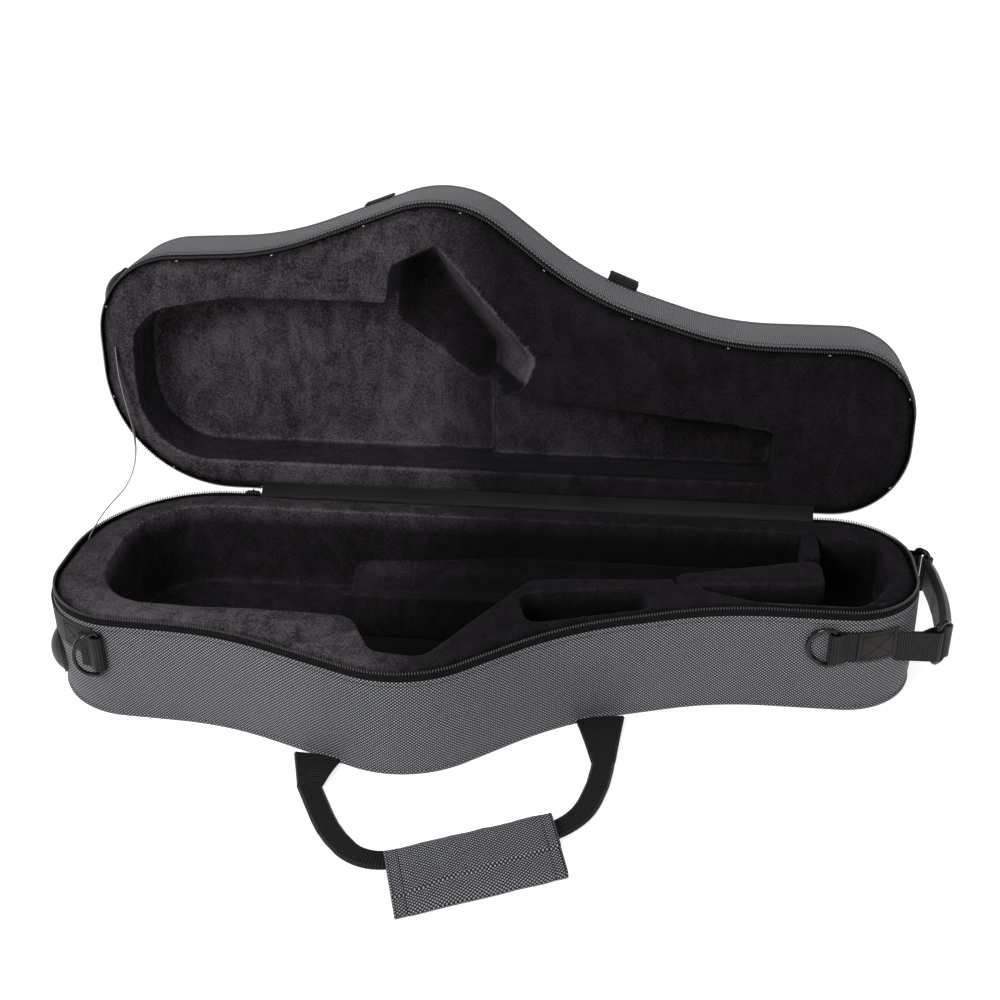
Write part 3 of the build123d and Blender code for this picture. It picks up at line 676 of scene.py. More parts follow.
for half, height, crown in (("base", baseHeight, 0.0), ("lid", lidHeight, shell["crown"])):
    made = shellPieces(half, height, crown)
    if half == "lid":
        for obj in made.values():
            toLid(obj)
    dressed(made["side"], woven, half, (half + "_side_cover", half + "_foam_wall"))
    dressed(made["welt"], woven, half, (half + "_welt",))
    dressed(made["panel"], woven, half, (half + "_panel_cover", half + "_panel"))
    dressed(made["tape"], tape, half, (half + "_zipper_tape",))
    dressed(made["teeth"], chainGloss, half, (half + "_zipper_chain",))
    dressed(made["stitches"], thread, half)
    if half == "lid":
        dressed(made["studs"], studSteel, half)
print("stage: shell")


# Hinge at the back

hinge = {"bandHeight": 0.026, "thickness": 0.0012, "clear": 0.0018, "headDrop": 0.008, "headInset": 0.0033,
         "neckDrop": 0.014, "roll": 0.0015, "gussetRight": 0.261, "gussetReach": 0.010, "gussetRise": 0.008,
         "gussetThickness": 0.0012, "gussetRadius": 0.005, "air": 0.0003, "linerDrop": 0.001}


def hingeLeaf(name, height):
    y, top = hingeY, height - hinge["clear"]
    profile = [(y + hinge["thickness"], height - hinge["bandHeight"]), (y + hinge["thickness"], top),
               (y - hinge["headInset"], top), (y - hinge["headInset"], height - hinge["neckDrop"]),
               (y - 0.0012, height - hinge["neckDrop"]), (y - 0.0012, height - hinge["headDrop"]),
               (y, height - hinge["headDrop"]), (y, height - hinge["bandHeight"])]
    corners = [Vector((a, b, 0)) for a, b in profile]
    section = roundCorners(corners, [0.0005, 0.0011, 0.0011, 0.0004, 0.0002, 0.0002, 0.0002, 0.0004], True,
                           0.6)
    xs = np.arange(shell["hingeLeft"], shell["hingeRight"] + 0.001, 0.005)
    rows = [[(x, p.x + 0.00015 * math.sin(90 * x), p.y) for p in section] for x in xs]
    return gridPiece(name, rows)


for half, height in (("base", baseHeight), ("lid", lidHeight)):
    leaf = hingeLeaf(half + "HingeLeaf", height)
    ends = (shell["hingeLeft"] + 0.003, shell["hingeRight"] - 0.003)
    y = hingeY + hinge["thickness"] + 0.0001
    low, high = height - hinge["bandHeight"] + 0.0025, height - 0.0065
    lines = [[Vector((x, y, z)) for x in np.linspace(*ends, 60)] for z in (low, low + 0.003, high)]
    lines += [[Vector((x, y, z)) for z in np.linspace(low, high, 6)] for x in ends]
    rows = beads(half + "HingeStitches", lines, 0.0028, (0.0021, 0.0005, 0.0005), thread)
    if half == "lid":
        toLid(leaf)
        toLid(rows)
    dressed(leaf, webbing, half, (half + "_hinge_band",))
    dressed(rows, thread, half)

xs = np.arange(shell["hingeLeft"], shell["hingeRight"] + 0.001, 0.006)
section = circleAt(hingeY, baseHeight, hinge["roll"], 12)
roll = gridPiece("hingeRoll", [[(x, *p) for p in section] for x in xs])
dressed(roll, webbing, "base", ("hinge_fold",),
        ("lid", (0, hingeY - 0.002, baseHeight - 0.002), (0, hingeY + 0.002, baseHeight + 0.002)))


def lidSpot(depth, lift):
    spot = Matrix.Rotation(-math.radians(caseShape["openAngle"]), 3, "X") @ Vector((0, -depth, lift))
    return Vector((0, hingeY + spot.y, baseHeight + spot.z))


lift = hinge["gussetThickness"] / 2 + hinge["air"] - hinge["linerDrop"]
start = Vector((0, hingeY - hinge["gussetReach"], baseHeight + lift))
stop, fold = lidSpot(hinge["gussetRise"], -lift), lidSpot(0, -lift)
slope = (stop - fold) / (stop - fold).z
corner = fold + slope * (start.z - fold.z)
middle = (shell["hingeLeft"] + hinge["gussetRight"]) / 2
line = cutLine([start, corner, stop], [0, hinge["gussetRadius"], 0], 0.0014)
gusset = bandPiece("hingeStrip", [p + Vector((middle, 0, 0)) for p in line], Vector((1, 0, 0)),
                   hinge["gussetRight"] - shell["hingeLeft"], hinge["gussetThickness"], lanes=150,
                   wrinkle=0.0006)
dressed(gusset, hingeCloth, "base", ("hinge_gusset",), ("lid", start, stop))
print("stage: hinge")


# Plush liners, softened from the shaped blocks

soft = {"voxel": 0.0026, "fineVoxel": 0.0020, "smooth": 4, "swell": 0.0008, "ripple": 0.00025,
        "rollWidth": 0.013, "rollDrop": 0.0042, "edgePaintedShadeHighlight": 0.006}
back = drawnLid.inverted()
backTurn = back.to_3x3()
rimTree = KDTree(len(outline["points"]))
for i, p in enumerate(outline["points"]):
    rimTree.insert(Vector(p), i)
rimTree.balance()


def insetOf(p):
    # How far inside the outline a point lies
    spot, i, d = rimTree.find(Vector((p.x, p.y, 0)))
    return (spot - Vector((p.x, p.y, 0))).dot(Vector(outline["outward"][i]))


def easeBetween(value, low, high):
    t = max(0.0, min(1.0, (value - low) / (high - low)))
    return t * t * (3 - 2 * t)


def softCopy(name, node, voxel, rounds, shape=None, paintedLight=None, lid=False):
    obj = linked(name, mergedMesh(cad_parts[node]))
    remesh = obj.modifiers.new("even", "REMESH")
    remesh.mode, remesh.voxel_size = "VOXEL", voxel
    ease = obj.modifiers.new("ease", "SMOOTH")
    ease.factor, ease.iterations = 0.5, rounds
    evaluated(obj)
    count = len(obj.data.vertices)
    places, normals = np.zeros(3 * count), np.zeros(3 * count)
    obj.data.vertices.foreach_get("co", places)
    obj.data.vertex_normals.foreach_get("vector", normals)
    places, normals = places.reshape(-1, 3), normals.reshape(-1, 3)
    paintedLights = np.ones(count)
    for i in range(count):
        drawn, normal = Vector(places[i]), Vector(normals[i])
        if lid:
            drawn, normal = back @ drawn, backTurn @ normal
        inset = insetOf(drawn)
        push = soft["swell"] * noise.noise(drawn * 30) + soft["ripple"] * noise.noise(drawn * 110)
        if shape:
            push += shape(drawn, normal, inset)
        # Painted light and shade for each point, read by the plush material
        if paintedLight:
            paintedLights[i] = paintedLight(drawn, normal, inset)
        places[i] += normals[i] * push
    obj.data.vertices.foreach_set("co", places.ravel())
    obj.data.attributes.new("paintedLight", "FLOAT", "POINT").data.foreach_set("value", paintedLights)
    obj.data.update()
    obj.data.shade_smooth()
    return obj


def nearLine(p, a, b):
    # Distance in plan from a point to a stretch of line, and how far along it is
    ax, ay = b[0] - a[0], b[1] - a[1]
    t = max(0.0, min(1.0, ((p.x - a[0]) * ax + (p.y - a[1]) * ay) / (ax * ax + ay * ay)))
    return math.hypot(p.x - a[0] - t * ax, p.y - a[1] - t * ay), t


creases = {
    "base": [((-0.262, -0.066), (-0.236, -0.074), 0.004, 0.0014),
             ((-0.20, -0.075), (-0.17, -0.083), 0.004, 0.0012),
             ((0.30, 0.0), (0.318, -0.006), 0.004, 0.0014),
             ((-0.09, -0.095), (-0.072, -0.104), 0.004, 0.0012)],
    "lid": [((-0.318, 0.0), (-0.305, -0.012), 0.004, 0.0014),
            ((-0.25, -0.055), (-0.235, -0.066), 0.004, 0.0012),
            ((0.226, 0.040), (0.240, 0.055), 0.005, 0.0020), ((0.228, 0.062), (0.243, 0.056), 0.005, 0.0018)],
}


def creaseAt(p, half):
    push = 0.0
    for a, b, width, depth in creases[half]:
        d, t = nearLine(p, a, b)
        if d < 3 * width:
            push -= depth * math.exp(-(d / width) ** 2)
    return push


def rimRoll(normal, inset):
    # The pile rolls down to the zip all round the rim
    if normal.z < 0.3 or inset > soft["rollWidth"]:
        return 0.0
    return -soft["rollDrop"] * (1 - inset / soft["rollWidth"]) ** 2


def baseShape(p, normal, inset):
    push = creaseAt(p, "base") + rimRoll(normal, inset)
    if p.x > 0.292 and 0.042 < p.z < 0.087 and normal.z < 0.5:  # gathers on the end wall
        fade = min(1.0, (p.z - 0.042) / 0.012)
        push += 0.0015 * fade * math.sin(2 * math.pi * p.y / 0.0105 + 2.0 * noise.noise(p * 20))
    return push


def lidShape(p, normal, inset):
    return creaseAt(p, "lid") + rimRoll(normal, inset)


# Painted light and shade on the pile: (least, added) shares, and where they change
paintedLightShares = {"base": (0.13, 0.60), "front": 0.95, "deep": (0.25, 0.75), "lid": (0.14, 0.76), "floor": 0.75,
           "wall": (0.40, 0.60), "paintedHighlightGain": 0.9, "turnAt": 0.74, "turnWidth": 0.13, "zip": (0.35, 0.65),
           "zipFrom": 0.0045, "slot": (-0.012, 0.025, 0.030), "slotShare": (0.36, 0.18),
           "farWall": (-0.075, 0.040, 0.020)}


def edgePaintedShadeHighlight(normal, inset):
    # Painted shade beside the zip, and a painted highlight where the pile turns over an edge
    off = (abs(normal.z) - paintedLightShares["turnAt"]) / paintedLightShares["turnWidth"]
    turned = 1.0 + paintedLightShares["paintedHighlightGain"] * math.exp(-off ** 2)
    least, added = paintedLightShares["zip"]
    return turned * (least + added * easeBetween(inset, paintedLightShares["zipFrom"],
                                                 paintedLightShares["zipFrom"] + soft["edgePaintedShadeHighlight"]))


def basePaintedLight(p, normal, inset):
    # Painted light at the wide end and along its front, painted shade towards the narrow end and down in the
    # cradle
    side = paintedLightShares["base"][0] + paintedLightShares["base"][1] * easeBetween(-p.x, -0.01, 0.10)
    front = 1.0 + paintedLightShares["front"] * easeBetween(-p.y, 0.03, 0.07) * easeBetween(-p.x, 0.02, 0.10)
    deep = paintedLightShares["deep"][0] + paintedLightShares["deep"][1] * easeBetween(p.z, baseHeight - 0.020, baseHeight - 0.006)
    return side * front * deep * edgePaintedShadeHighlight(normal, inset)


def lidPaintedLight(p, normal, inset):
    # Painted light and shade as in the base, with painted shade in the sloping groove, the slot and on steep
    # walls, and painted light on the groove's far wall
    side = paintedLightShares["lid"][0] + paintedLightShares["lid"][1] * easeBetween(-p.x, 0.0, 0.085)
    depth = lidHeight - p.z
    groove = 1.0 - paintedLightShares["floor"] * easeBetween(depth, 0.0508, 0.0540)
    left, behind, below = paintedLightShares["slot"]
    if p.x > left and p.y > behind and depth > below:
        side = paintedLightShares["slotShare"][0] - paintedLightShares["slotShare"][1] * easeBetween(p.x, 0.05, 0.18)
    wall = paintedLightShares["wall"][0] + paintedLightShares["wall"][1] * easeBetween(abs(normal.z), 0.35, 0.80)
    left, right, before = paintedLightShares["farWall"]
    if normal.x < -0.3 and left < p.x < right and p.y < before:  # painted light on the groove's far wall
        side, groove, wall = 0.75, 1.0, 1.2 - 0.9 * easeBetween(depth, 0.030, 0.056)
    return side * groove * wall * edgePaintedShadeHighlight(normal, inset)


baseLiner = softCopy("basePlushCradle", "base_liner", soft["voxel"], soft["smooth"], baseShape, basePaintedLight)
lidLiner = softCopy("lidPlushLiner", "lid_liner", soft["voxel"], soft["smooth"], lidShape, lidPaintedLight, lid=True)
for obj, node, half in ((baseLiner, "base_liner", "base"), (lidLiner, "lid_liner", "lid")):
    dressed(obj, plush, half, (node,))
# The divider, end pad and saddle take the base's painted light and shade
for name, node, rounds in (("channelDivider", "channel_divider", 6), ("channelEndPad", "channel_end_pad", 5),
                           ("bodySaddle", "body_saddle", 5)):
    obj = softCopy(name, node, soft["fineVoxel"], rounds, paintedLight=basePaintedLight)
    dressed(obj, plush, "base", (node,))

# Thin piping sewn into the plush, just inside the rim
pipingLook = {"radius": 0.0011, "inset": 0.0098, "sink": 0.0030}
for half, height, ends in (("base", baseHeight, (0.20, 0.19)), ("lid", lidHeight, (-0.13, -0.20))):
    low, high = (lengthAt(x=ends[0]), lengthAt(x=ends[1], front=False))
    if half == "lid":
        low, high = high, low
    if low > high:
        low -= outline["total"]
    circle = circleAt(pipingLook["inset"], height - pipingLook["sink"], pipingLook["radius"], 8)
    piping = ringPiece(half + "PlushPiping", circle, span=(low, high))
    # The piping gets an even painted light level, brighter in the lid
    paintedLights = [0.8 if half == "lid" else 0.5] * len(piping.data.vertices)
    piping.data.attributes.new("paintedLight", "FLOAT", "POINT").data.foreach_set("value", paintedLights)
    if half == "lid":
        toLid(piping)
    dressed(piping, plush, half)
print("stage: plush")


# Webbing on the walls and the strap rings

straps = {"width": 0.026, "thickness": 0.0014, "height": 0.060, "leftHeight": 0.0665, "wire": 0.0019,
          "play": 0.0008, "layerGap": 0.0001, "bend": 0.97, "loopShares": (0.8, 3.0, 5.0),
          "leftShare": -0.829, "rightShare": 0.797, "leftWidth": 0.030, "leftStart": -0.845,
          "leftEnd": 0.14, "rightEnd": 0.90, "patch": (0.85, 0.936)}


def loopLine(wire, reach):
    # Webbing that goes round a bar at the origin and lies back on itself
    turn = wire + straps["play"] + straps["thickness"] / 2
    over = -turn + straps["thickness"] + straps["layerGap"]
    points = [Vector((reach, -turn, 0)), Vector((-turn, -turn, 0)), Vector((-turn, turn, 0))]
    points += [Vector((share * turn, high, 0))
               for share, high in zip(straps["loopShares"], (turn, over, over))]
    return points, [0.0] + [turn * straps["bend"]] * 4 + [0.0]


def planStrip(name, origin, toward, side, points, radii, width, thickness, lanes=4, step=0.0012):
    line = cutLine(points, radii, step)
    return bandPiece(name, [origin + toward * p.x + side * p.y for p in line], upward, width, thickness,
                     lanes)


def wallBand(name, span, middle, width, layer=0):
    low, high = middle - width / 2, middle + width / 2
    base = layer * (straps["thickness"] + 0.0001) + 0.0004
    section = roundedBox(-base, -base - straps["thickness"], low, high, 0.0005)
    return ringPiece(name, section, span=span)


stitches = {"pitch": 0.0025, "bead": (0.0019, 0.0006, 0.0006), "half": 0.010, "lift": 0.0021}


def stitchBox(name, span, low, high, lift, body, cross=True):
    lines = [[(span[0], low), (span[1], low)], [(span[0], high), (span[1], high)],
             [(span[0], low), (span[0], high)], [(span[1], low), (span[1], high)]]
    if cross:
        lines += [[(span[0], low), (span[1], high)], [(span[0], high), (span[1], low)]]
    paths = []
    for a, b in lines:
        paths.append([onWall(a[0] + t * (b[0] - a[0]), a[1] + t * (b[1] - a[1]), lift)
                      for t in np.linspace(0, 1, 9)])
    rows = beads(name, paths, stitches["pitch"], stitches["bead"], thread)
    dressed(rows, thread, body)


leftStart = lengthAt(y=hingeY - straps["leftEnd"] * caseShape["depth"])
leftStop = lengthAt(x=straps["leftStart"] * halfLength)
if leftStop < leftStart:
    leftStart -= outline["total"]
leftBand = wallBand("leftRingBand", (leftStart, leftStop), straps["leftHeight"], straps["width"])
dressed(leftBand, patchCloth, "base", ("left_ring_band",))
stitchBox("leftBandStitches", (leftStop - 0.030, leftStop - 0.008), straps["leftHeight"] - 0.009,
          straps["leftHeight"] + 0.009, 0.0021, "base")

rightFrom = lengthAt(x=straps["rightShare"] * halfLength + straps["wire"])
rightTo = lengthAt(x=straps["rightEnd"] * halfLength)
rightBand = wallBand("rightRingBand", (rightFrom, rightTo), straps["height"], straps["width"])
dressed(rightBand, webbing, "base", ("right_ring_band",))

ringLift = straps["thickness"] + straps["wire"] + straps["play"]
for name, share, flip, width, replaces in (("left", straps["leftShare"], -1, straps["leftWidth"],
                                            ("left_ring_loop",)),
                                           ("right", straps["rightShare"], 1, straps["width"], ())):
    origin, along, outward = wallFrame(straps["height"], x=share * halfLength)
    origin += outward * ringLift
    points, radii = loopLine(straps["wire"], 5 * straps["wire"])
    loop = planStrip(name + "RingLoop", origin, along * flip, outward, points, radii, width,
                     straps["thickness"])
    dressed(loop, webbing, "base", replaces)

for side, front, layer, near, far in (("front", True, 1, 0.003, 0.004), ("rear", False, 0, 0.004, 0.003)):
    start, stop = sorted(lengthAt(x=share * halfLength, front=front) for share in straps["patch"])
    patch = wallBand(side + "AnchorPatch", (start, stop), straps["height"], straps["width"], layer)
    dressed(patch, patchCloth, "base", (side + "_anchor_patch",))
    stitchLift = stitches["lift"] + layer * (straps["thickness"] + straps["layerGap"])
    stitchBox(side + "PatchStitches", (start + near, stop - far), straps["height"] - stitches["half"],
              straps["height"] + stitches["half"], stitchLift, "base")
print("stage: webbing")


# End handle

endHandle = {"wire": 0.0024, "spacing": 0.011, "frontShares": (1.03, 0.508), "rearShare": 0.062,
             "drop": 0.005, "angle": 45.0, "height": 0.028, "crown": 0.005, "rootShare": 0.942,
             "rearRootShare": 0.92, "thickness": 0.0088, "endThickness": 0.0030}
level = straps["height"] - endHandle["drop"]
frontBar = place(*endHandle["frontShares"], level)
rearBar = place(endHandle["frontShares"][0], endHandle["rearShare"], level)
turn = Matrix.Rotation(math.radians(endHandle["angle"]), 3, "Z") @ Vector((endHandle["spacing"], 0, 0))
frontGrip, rearGrip = frontBar + turn, rearBar + Vector((turn.x, -turn.y, 0))
for name, root, bar, inside in (
        ("Front", wallFrame(0, x=endHandle["rootShare"] * halfLength)[0], frontBar, 1),
        ("Rear", wallFrame(0, x=endHandle["rearRootShare"] * halfLength, front=False)[0], rearBar, -1)):
    rootLevel = Vector((root.x, root.y, bar.z))
    toward = (rootLevel - bar).normalized()
    side = upward.cross(toward)
    if side.y * inside < 0:
        side = -side
    points, radii = loopLine(endHandle["wire"], (rootLevel - bar).length + 0.001)
    web = planStrip("endWeb" + name, bar, toward, side, points, radii, straps["width"], straps["thickness"])
    dressed(web, webbing, "base", ("end_web_" + name.lower(),), ("end_handle", rootLevel, bar))

middle = (frontGrip + rearGrip) / 2 + Vector((endHandle["crown"], 0, 0))
line = cutLine([frontGrip, middle, rearGrip], fitRadii([frontGrip, middle, rearGrip], [0, 0.25, 0], False),
               0.002)
count = len(line)
swell = [min(1.0, min(i, count - 1 - i) / 6) for i in range(count)]
added = endHandle["thickness"] - endHandle["endThickness"]
thick = [endHandle["endThickness"] + added * t * t * (3 - 2 * t) for t in swell]
grip = bandPiece("endGripBand", line, upward, endHandle["height"], thick, lanes=12, edge=0.9, wrinkle=0.0005)
dressed(grip, gripCloth, "end_handle", ("end_grip",))
for name, bar in (("Front", frontGrip), ("Rear", rearGrip)):
    rows = []
    inner, outer = endHandle["wire"] + 0.0006, endHandle["wire"] + 0.0021
    half = endHandle["height"] / 2
    section = [(inner, -half), (outer, -half + 0.0006), (outer, half - 0.0006), (inner, half)]
    for a in np.linspace(0, 2 * math.pi, 25)[:-1]:
        rows.append([(bar.x + r * math.cos(a), bar.y + r * math.sin(a), bar.z + z) for r, z in section])
    eye = gridPiece("endGripEye" + name, rows, closedU=True)
    dressed(eye, gripCloth, "end_handle")
print("stage: end handle")


# Carry handle on the floor

handle = {"tabWidth": 0.038, "tabThickness": 0.003, "width": 0.0170, "thickness": 0.0044, "gap": 0.0004,
          "left": -0.319, "right": 0.283,
          "shares": [(-0.325, 1.075), (-0.245, 1.275), (-0.160, 1.38), (0.203, 1.212), (0.263, 1.14),
                     (0.2955, 1.0), (0.3015, 0.885)],
          "radii": [0, 0.120, 0.036, 0.055, 0.055, 0.150, 0],
          "gripLength": 0.1187, "gripCentre": (0.064, 1.36), "gripTurn": 24.0, "gripWidth": 0.058,
          "gripBack": 0.0098, "gripFront": 0.0085, "ridgeShare": 0.40,
          "bends": [0.005, 0.0058, 0.030, 0.0042, 0.0036],
          "shift": 0.0038, "lean": 0.0073, "flare": -0.010, "seamAt": -0.0103, "seamSlope": -0.082,
          "seamDeep": 0.0022,
          "sewnBand": 0.0085, "pinch": 0.10, "pinchWidth": 0.0028, "endPinch": 0.03, "endWidth": 0.003}
strapZ = handle["gap"] + 0.002
corners = [place(*shares, strapZ) for shares in handle["shares"]]
line = cutLine(corners, fitRadii(corners, handle["radii"], False), 0.003)
across = []
for i, p in enumerate(line):
    along = alongAt(line, i)
    across.append(Vector((-along.y, along.x, 0)))
strap = bandPiece("carryStrap", line, across, handle["width"], handle["thickness"], lanes=6, edge=0.8)
dressed(strap, webbing, "carry_handle", ("carry_strap",))

for name, share, end, after in (("Left", handle["left"], corners[0], corners[1]),
                                ("Right", handle["right"], corners[-1], corners[-2])):
    root, along, outward = wallFrame(strapZ, x=share * halfLength)
    out = (after - end).normalized()
    side = Vector((-out.y, out.x, 0))
    if side.dot(along) < 0:
        side = -side
    start = root + outward * 0.0018
    stop = end + out * 0.004
    path, acrosses, widths, thicks = [], [], [], []
    for k in range(13):
        t = k / 12
        path.append(start.lerp(stop, t) + upward * (0.0016 * math.sin(math.pi * t)))
        acrosses.append(along.lerp(side, t))
        widths.append(handle["tabWidth"] + (handle["width"] + 0.001 - handle["tabWidth"]) * t)
        thicks.append(handle["tabThickness"] + 0.0008 * t)
    tab = bandPiece("handleTab" + name, path, acrosses, widths, thicks, lanes=8, edge=0.8)
    dressed(tab, webbing, "base", ("handle_tab_" + name.lower(),), ("carry_handle", start, stop))


def gripPiece():
    # Wrapped pad with a lapped edge along it, thick over the strap and thinner to the front
    half, ridge = handle["gripWidth"] / 2, handle["gripWidth"] * (0.5 - handle["ridgeShare"])
    corners = [Vector((half, 0, 0)), Vector((half, handle["gripBack"], 0)),
               Vector((ridge, handle["gripBack"], 0)),
               Vector((-half, handle["gripFront"], 0)), Vector((-half, 0, 0))]
    section = roundCorners(corners, fitRadii(corners, handle["bends"]), True, 0.2)
    section, at, total = evenly(section, 0.0014, True)
    length = handle["gripLength"]
    centre = section.mean(axis=0)
    stations = np.linspace(-length / 2, length / 2, 84)
    rows = []
    for x in stations:
        toEnd = length / 2 - abs(x)
        pinch = 1 - handle["pinch"] * math.exp(-((toEnd - handle["sewnBand"]) / handle["pinchWidth"]) ** 2)
        pinch -= handle["endPinch"] * math.exp(-toEnd / handle["endWidth"])
        row = []
        for q in section:
            y, z = centre[0] + (q[0] - centre[0]), centre[1] + (q[1] - centre[1]) * pinch
            front = (half - y) / handle["gripWidth"]
            row.append([x * (1 + handle["flare"] * front) + handle["shift"] - handle["lean"] * front, y,
                        max(0.0, z)])
        rows.append(row)
    pad = gridPiece("carryGripPad", rows, u=stations + length, v=np.append(at, total), angle=60)
    return pad, stations, section


def puffed(obj, held, cloth):
    # Air blown into the cover, held where it is sewn
    count = len(obj.data.vertices)
    before = np.zeros(3 * count)
    obj.data.vertices.foreach_get("co", before)
    obj.vertex_groups.new(name="sewn").add(held, 1.0, "REPLACE")
    blown = obj.modifiers.new("puff", "CLOTH")
    blown.settings.quality = 8
    blown.settings.mass = 0.2
    blown.settings.vertex_group_mass = "sewn"
    blown.settings.use_pressure = True
    blown.settings.uniform_pressure_force = cloth["pressure"]
    blown.settings.tension_stiffness = blown.settings.compression_stiffness = cloth["stiffness"]
    blown.settings.effector_weights.gravity = 0.0
    for step in range(1, cloth["frames"] + 1):
        bpy.context.scene.frame_set(step)
    graph = bpy.context.evaluated_depsgraph_get()
    after = np.zeros(3 * count)
    obj.evaluated_get(graph).data.vertices.foreach_get("co", after)
    obj.modifiers.clear()
    obj.vertex_groups.clear()
    bpy.context.scene.frame_set(1)
    before, after = before.reshape(-1, 3), after.reshape(-1, 3)
    move = after - before
    far = np.maximum(np.linalg.norm(move, axis=1, keepdims=True), 1e-9)
    print(f"puff: {obj.name} mean {far.mean() * 1000:.2f} most {far.max() * 1000:.2f}")
    return before + move * np.minimum(1.0, cloth["cap"] / far)


gripPuff = {"pressure": 32.0, "stiffness": 8.0, "frames": 20, "cap": 0.0030}
grip, stations, section = gripPiece()
across = len(section)
sewn = [i * across + j for i, x in enumerate(stations) for j in range(across)
        if handle["gripLength"] / 2 - abs(x) < handle["sewnBand"] + 0.0008 or section[j][1] < 0.0008]
places = puffed(grip, sewn, gripPuff)
turn = Matrix.Rotation(math.radians(handle["gripTurn"]), 4, "Z")
origin = place(*handle["gripCentre"], handle["gap"])
for p in places:
    seam = handle["seamAt"] - handle["seamSlope"] * p[0]
    lap = easeBetween(p[1], seam - 0.0004, seam + 0.0012) if p[2] > 0.004 else 1.0
    sag = 0.0005 * noise.noise(Vector(p) * 45) + 0.0003 * noise.noise(Vector(p) * 130)
    p[2] = max(0.0, p[2] - handle["seamDeep"] * (1 - lap) + (sag if p[2] > 0.003 else 0.0))
    p[1] += sag
stitchLines = []
for side in (-1, 1):
    for inside in (0.0016, handle["sewnBand"]):
        x = side * (handle["gripLength"] / 2 - inside)
        i = int(np.argmin(np.abs(stations - x)))
        strip = places[i * across:(i + 1) * across]
        stitchLines.append([turn @ Vector((p[0], p[1], p[2] + 0.0003)) + origin
                            for p in strip if p[2] > 0.004])
grip.data.vertices.foreach_set("co", np.array([list(turn @ Vector(p) + origin) for p in places]).ravel())
grip.data.update()
dressed(grip, woven, "carry_handle", ("carry_grip",))
rows = beads("carryGripStitches", stitchLines, shell["stitchPitch"], stitches["bead"], thread)
dressed(rows, thread, "carry_handle")
print("stage: carry handle")


# Strap on the lid, behind it when it is open

lidHandle = {"tabWidth": 0.026, "reaches": (0.0013, 0.0056), "drop": 0.0035, "back": 0.008, "bend": 0.004,
             "thickness": 0.0022, "strapThickness": 0.0028, "start": 0.0035, "length": 0.100,
             "dropShares": [(0.07, 0.95), (0.33, 1.45), (0.72, 1.55), (0.98, 1.05)],
             "radii": [0, 0.105, 0.108, 0.088, 0.072, 0]}
tabTips = []
for name, share, reach in (("Left", handle["left"], lidHandle["reaches"][0]),
                           ("Right", handle["right"], lidHandle["reaches"][1])):
    origin, along, outward = wallFrame(baseHeight + lidHeight - lidHandle["drop"], x=share * halfLength)
    points = [Vector((0.0010, 0, 0)), Vector((reach, 0, 0)),
              Vector((reach, lidHandle["drop"] + lidHandle["back"], 0))]
    line = cutLine(points, fitRadii(points, [0, lidHandle["bend"], 0], False), 0.0006)
    path = [swingOpen @ (origin + outward * p.x + upward * p.y) for p in line]
    sideways = swingOpen.to_3x3() @ outward.cross(upward)
    tab = bandPiece("lidTab" + name, path, sideways, lidHandle["tabWidth"], lidHandle["thickness"], lanes=8,
                    edge=0.8)
    tip = origin + upward * (lidHandle["drop"] + lidHandle["back"]) + outward * reach
    tabTips.append(swingOpen @ tip)
    dressed(tab, webbing, "lid", ("lid_tab_" + name.lower(),), ("lid_strap", path[0], path[-1]))
left, right = tabTips
level = Vector((right.x - left.x, right.y - left.y, 0))
plane = level.normalized()
hang = lidHandle["start"] + lidHandle["strapThickness"] / 2
points = [Vector((0, -hang, 0))]
points += [Vector((level.length * along, -lidHandle["length"] * down, 0))
           for along, down in lidHandle["dropShares"]]
points += [Vector((level.length, right.z - left.z - hang, 0))]
line = cutLine(points, fitRadii(points, lidHandle["radii"], False), 0.003)
path = [left + plane * p.x + upward * p.y for p in line]
facing = level.cross(upward).normalized()
across = []
for i, p in enumerate(path):
    along = alongAt(path, i).normalized()
    across.append(along.cross(facing))
strap = bandPiece("lidCarryStrap", path, across, handle["width"], lidHandle["strapThickness"], lanes=6,
                  edge=0.8)
dressed(strap, webbing, "lid_strap", ("lid_strap",))
print("stage: lid strap")


# Stay ribbon at the wide end: down the rim of the lid, out in a bow and back to the rim of the base

stay = {"width": 0.0052, "thickness": 0.0006, "x": -0.322, "bowX": -0.307, "edgeOn": (-0.36, 0.79, -0.46),
        "onLid": [(0.125, 0.0004), (0.100, -0.006), (0.055, -0.008)],
        "onBase": [(0.010, 0.016), (0.040, 0.009), (0.070, 0.006), (0.090, -0.0004)],
        "sideways": [0, 0.15, 0.75, 0.85, 0.15, -0.15, -0.25], "bend": 0.12,
        "turned": 0.12, "twist": 0.5, "twistAt": 0.38, "twistWidth": 0.16}
ribbonLine = [lidSpot(*spot) for spot in stay["onLid"]]
ribbonLine += [Vector((0, hingeY - behind, baseHeight + up)) for behind, up in stay["onBase"]]
corners = [p + Vector((stay["x"] + (stay["bowX"] - stay["x"]) * s, 0, 0))
           for p, s in zip(ribbonLine, stay["sideways"])]
radii = [0] + [stay["bend"]] * (len(corners) - 2) + [0]
path = cutLine(corners, fitRadii(corners, radii, False), 0.002)
across = []
for i, p in enumerate(path):
    along = alongAt(path, i).normalized()
    twist = math.exp(-((i / len(path) - stay["twistAt"]) / stay["twistWidth"]) ** 2)
    flat = along.cross(Vector((1, 0, 0))).normalized()
    flat *= 1 if flat.y > 0 else -1
    across.append(Vector(stay["edgeOn"]).lerp(flat, stay["turned"] + stay["twist"] * twist))
ribbon = bandPiece("stayRibbonBand", path, across, stay["width"], stay["thickness"], lanes=4)
dressed(ribbon, ribbonSatin, "base", ("stay_ribbon",), ("lid", corners[-1], corners[0]))
print("stage: ribbon")


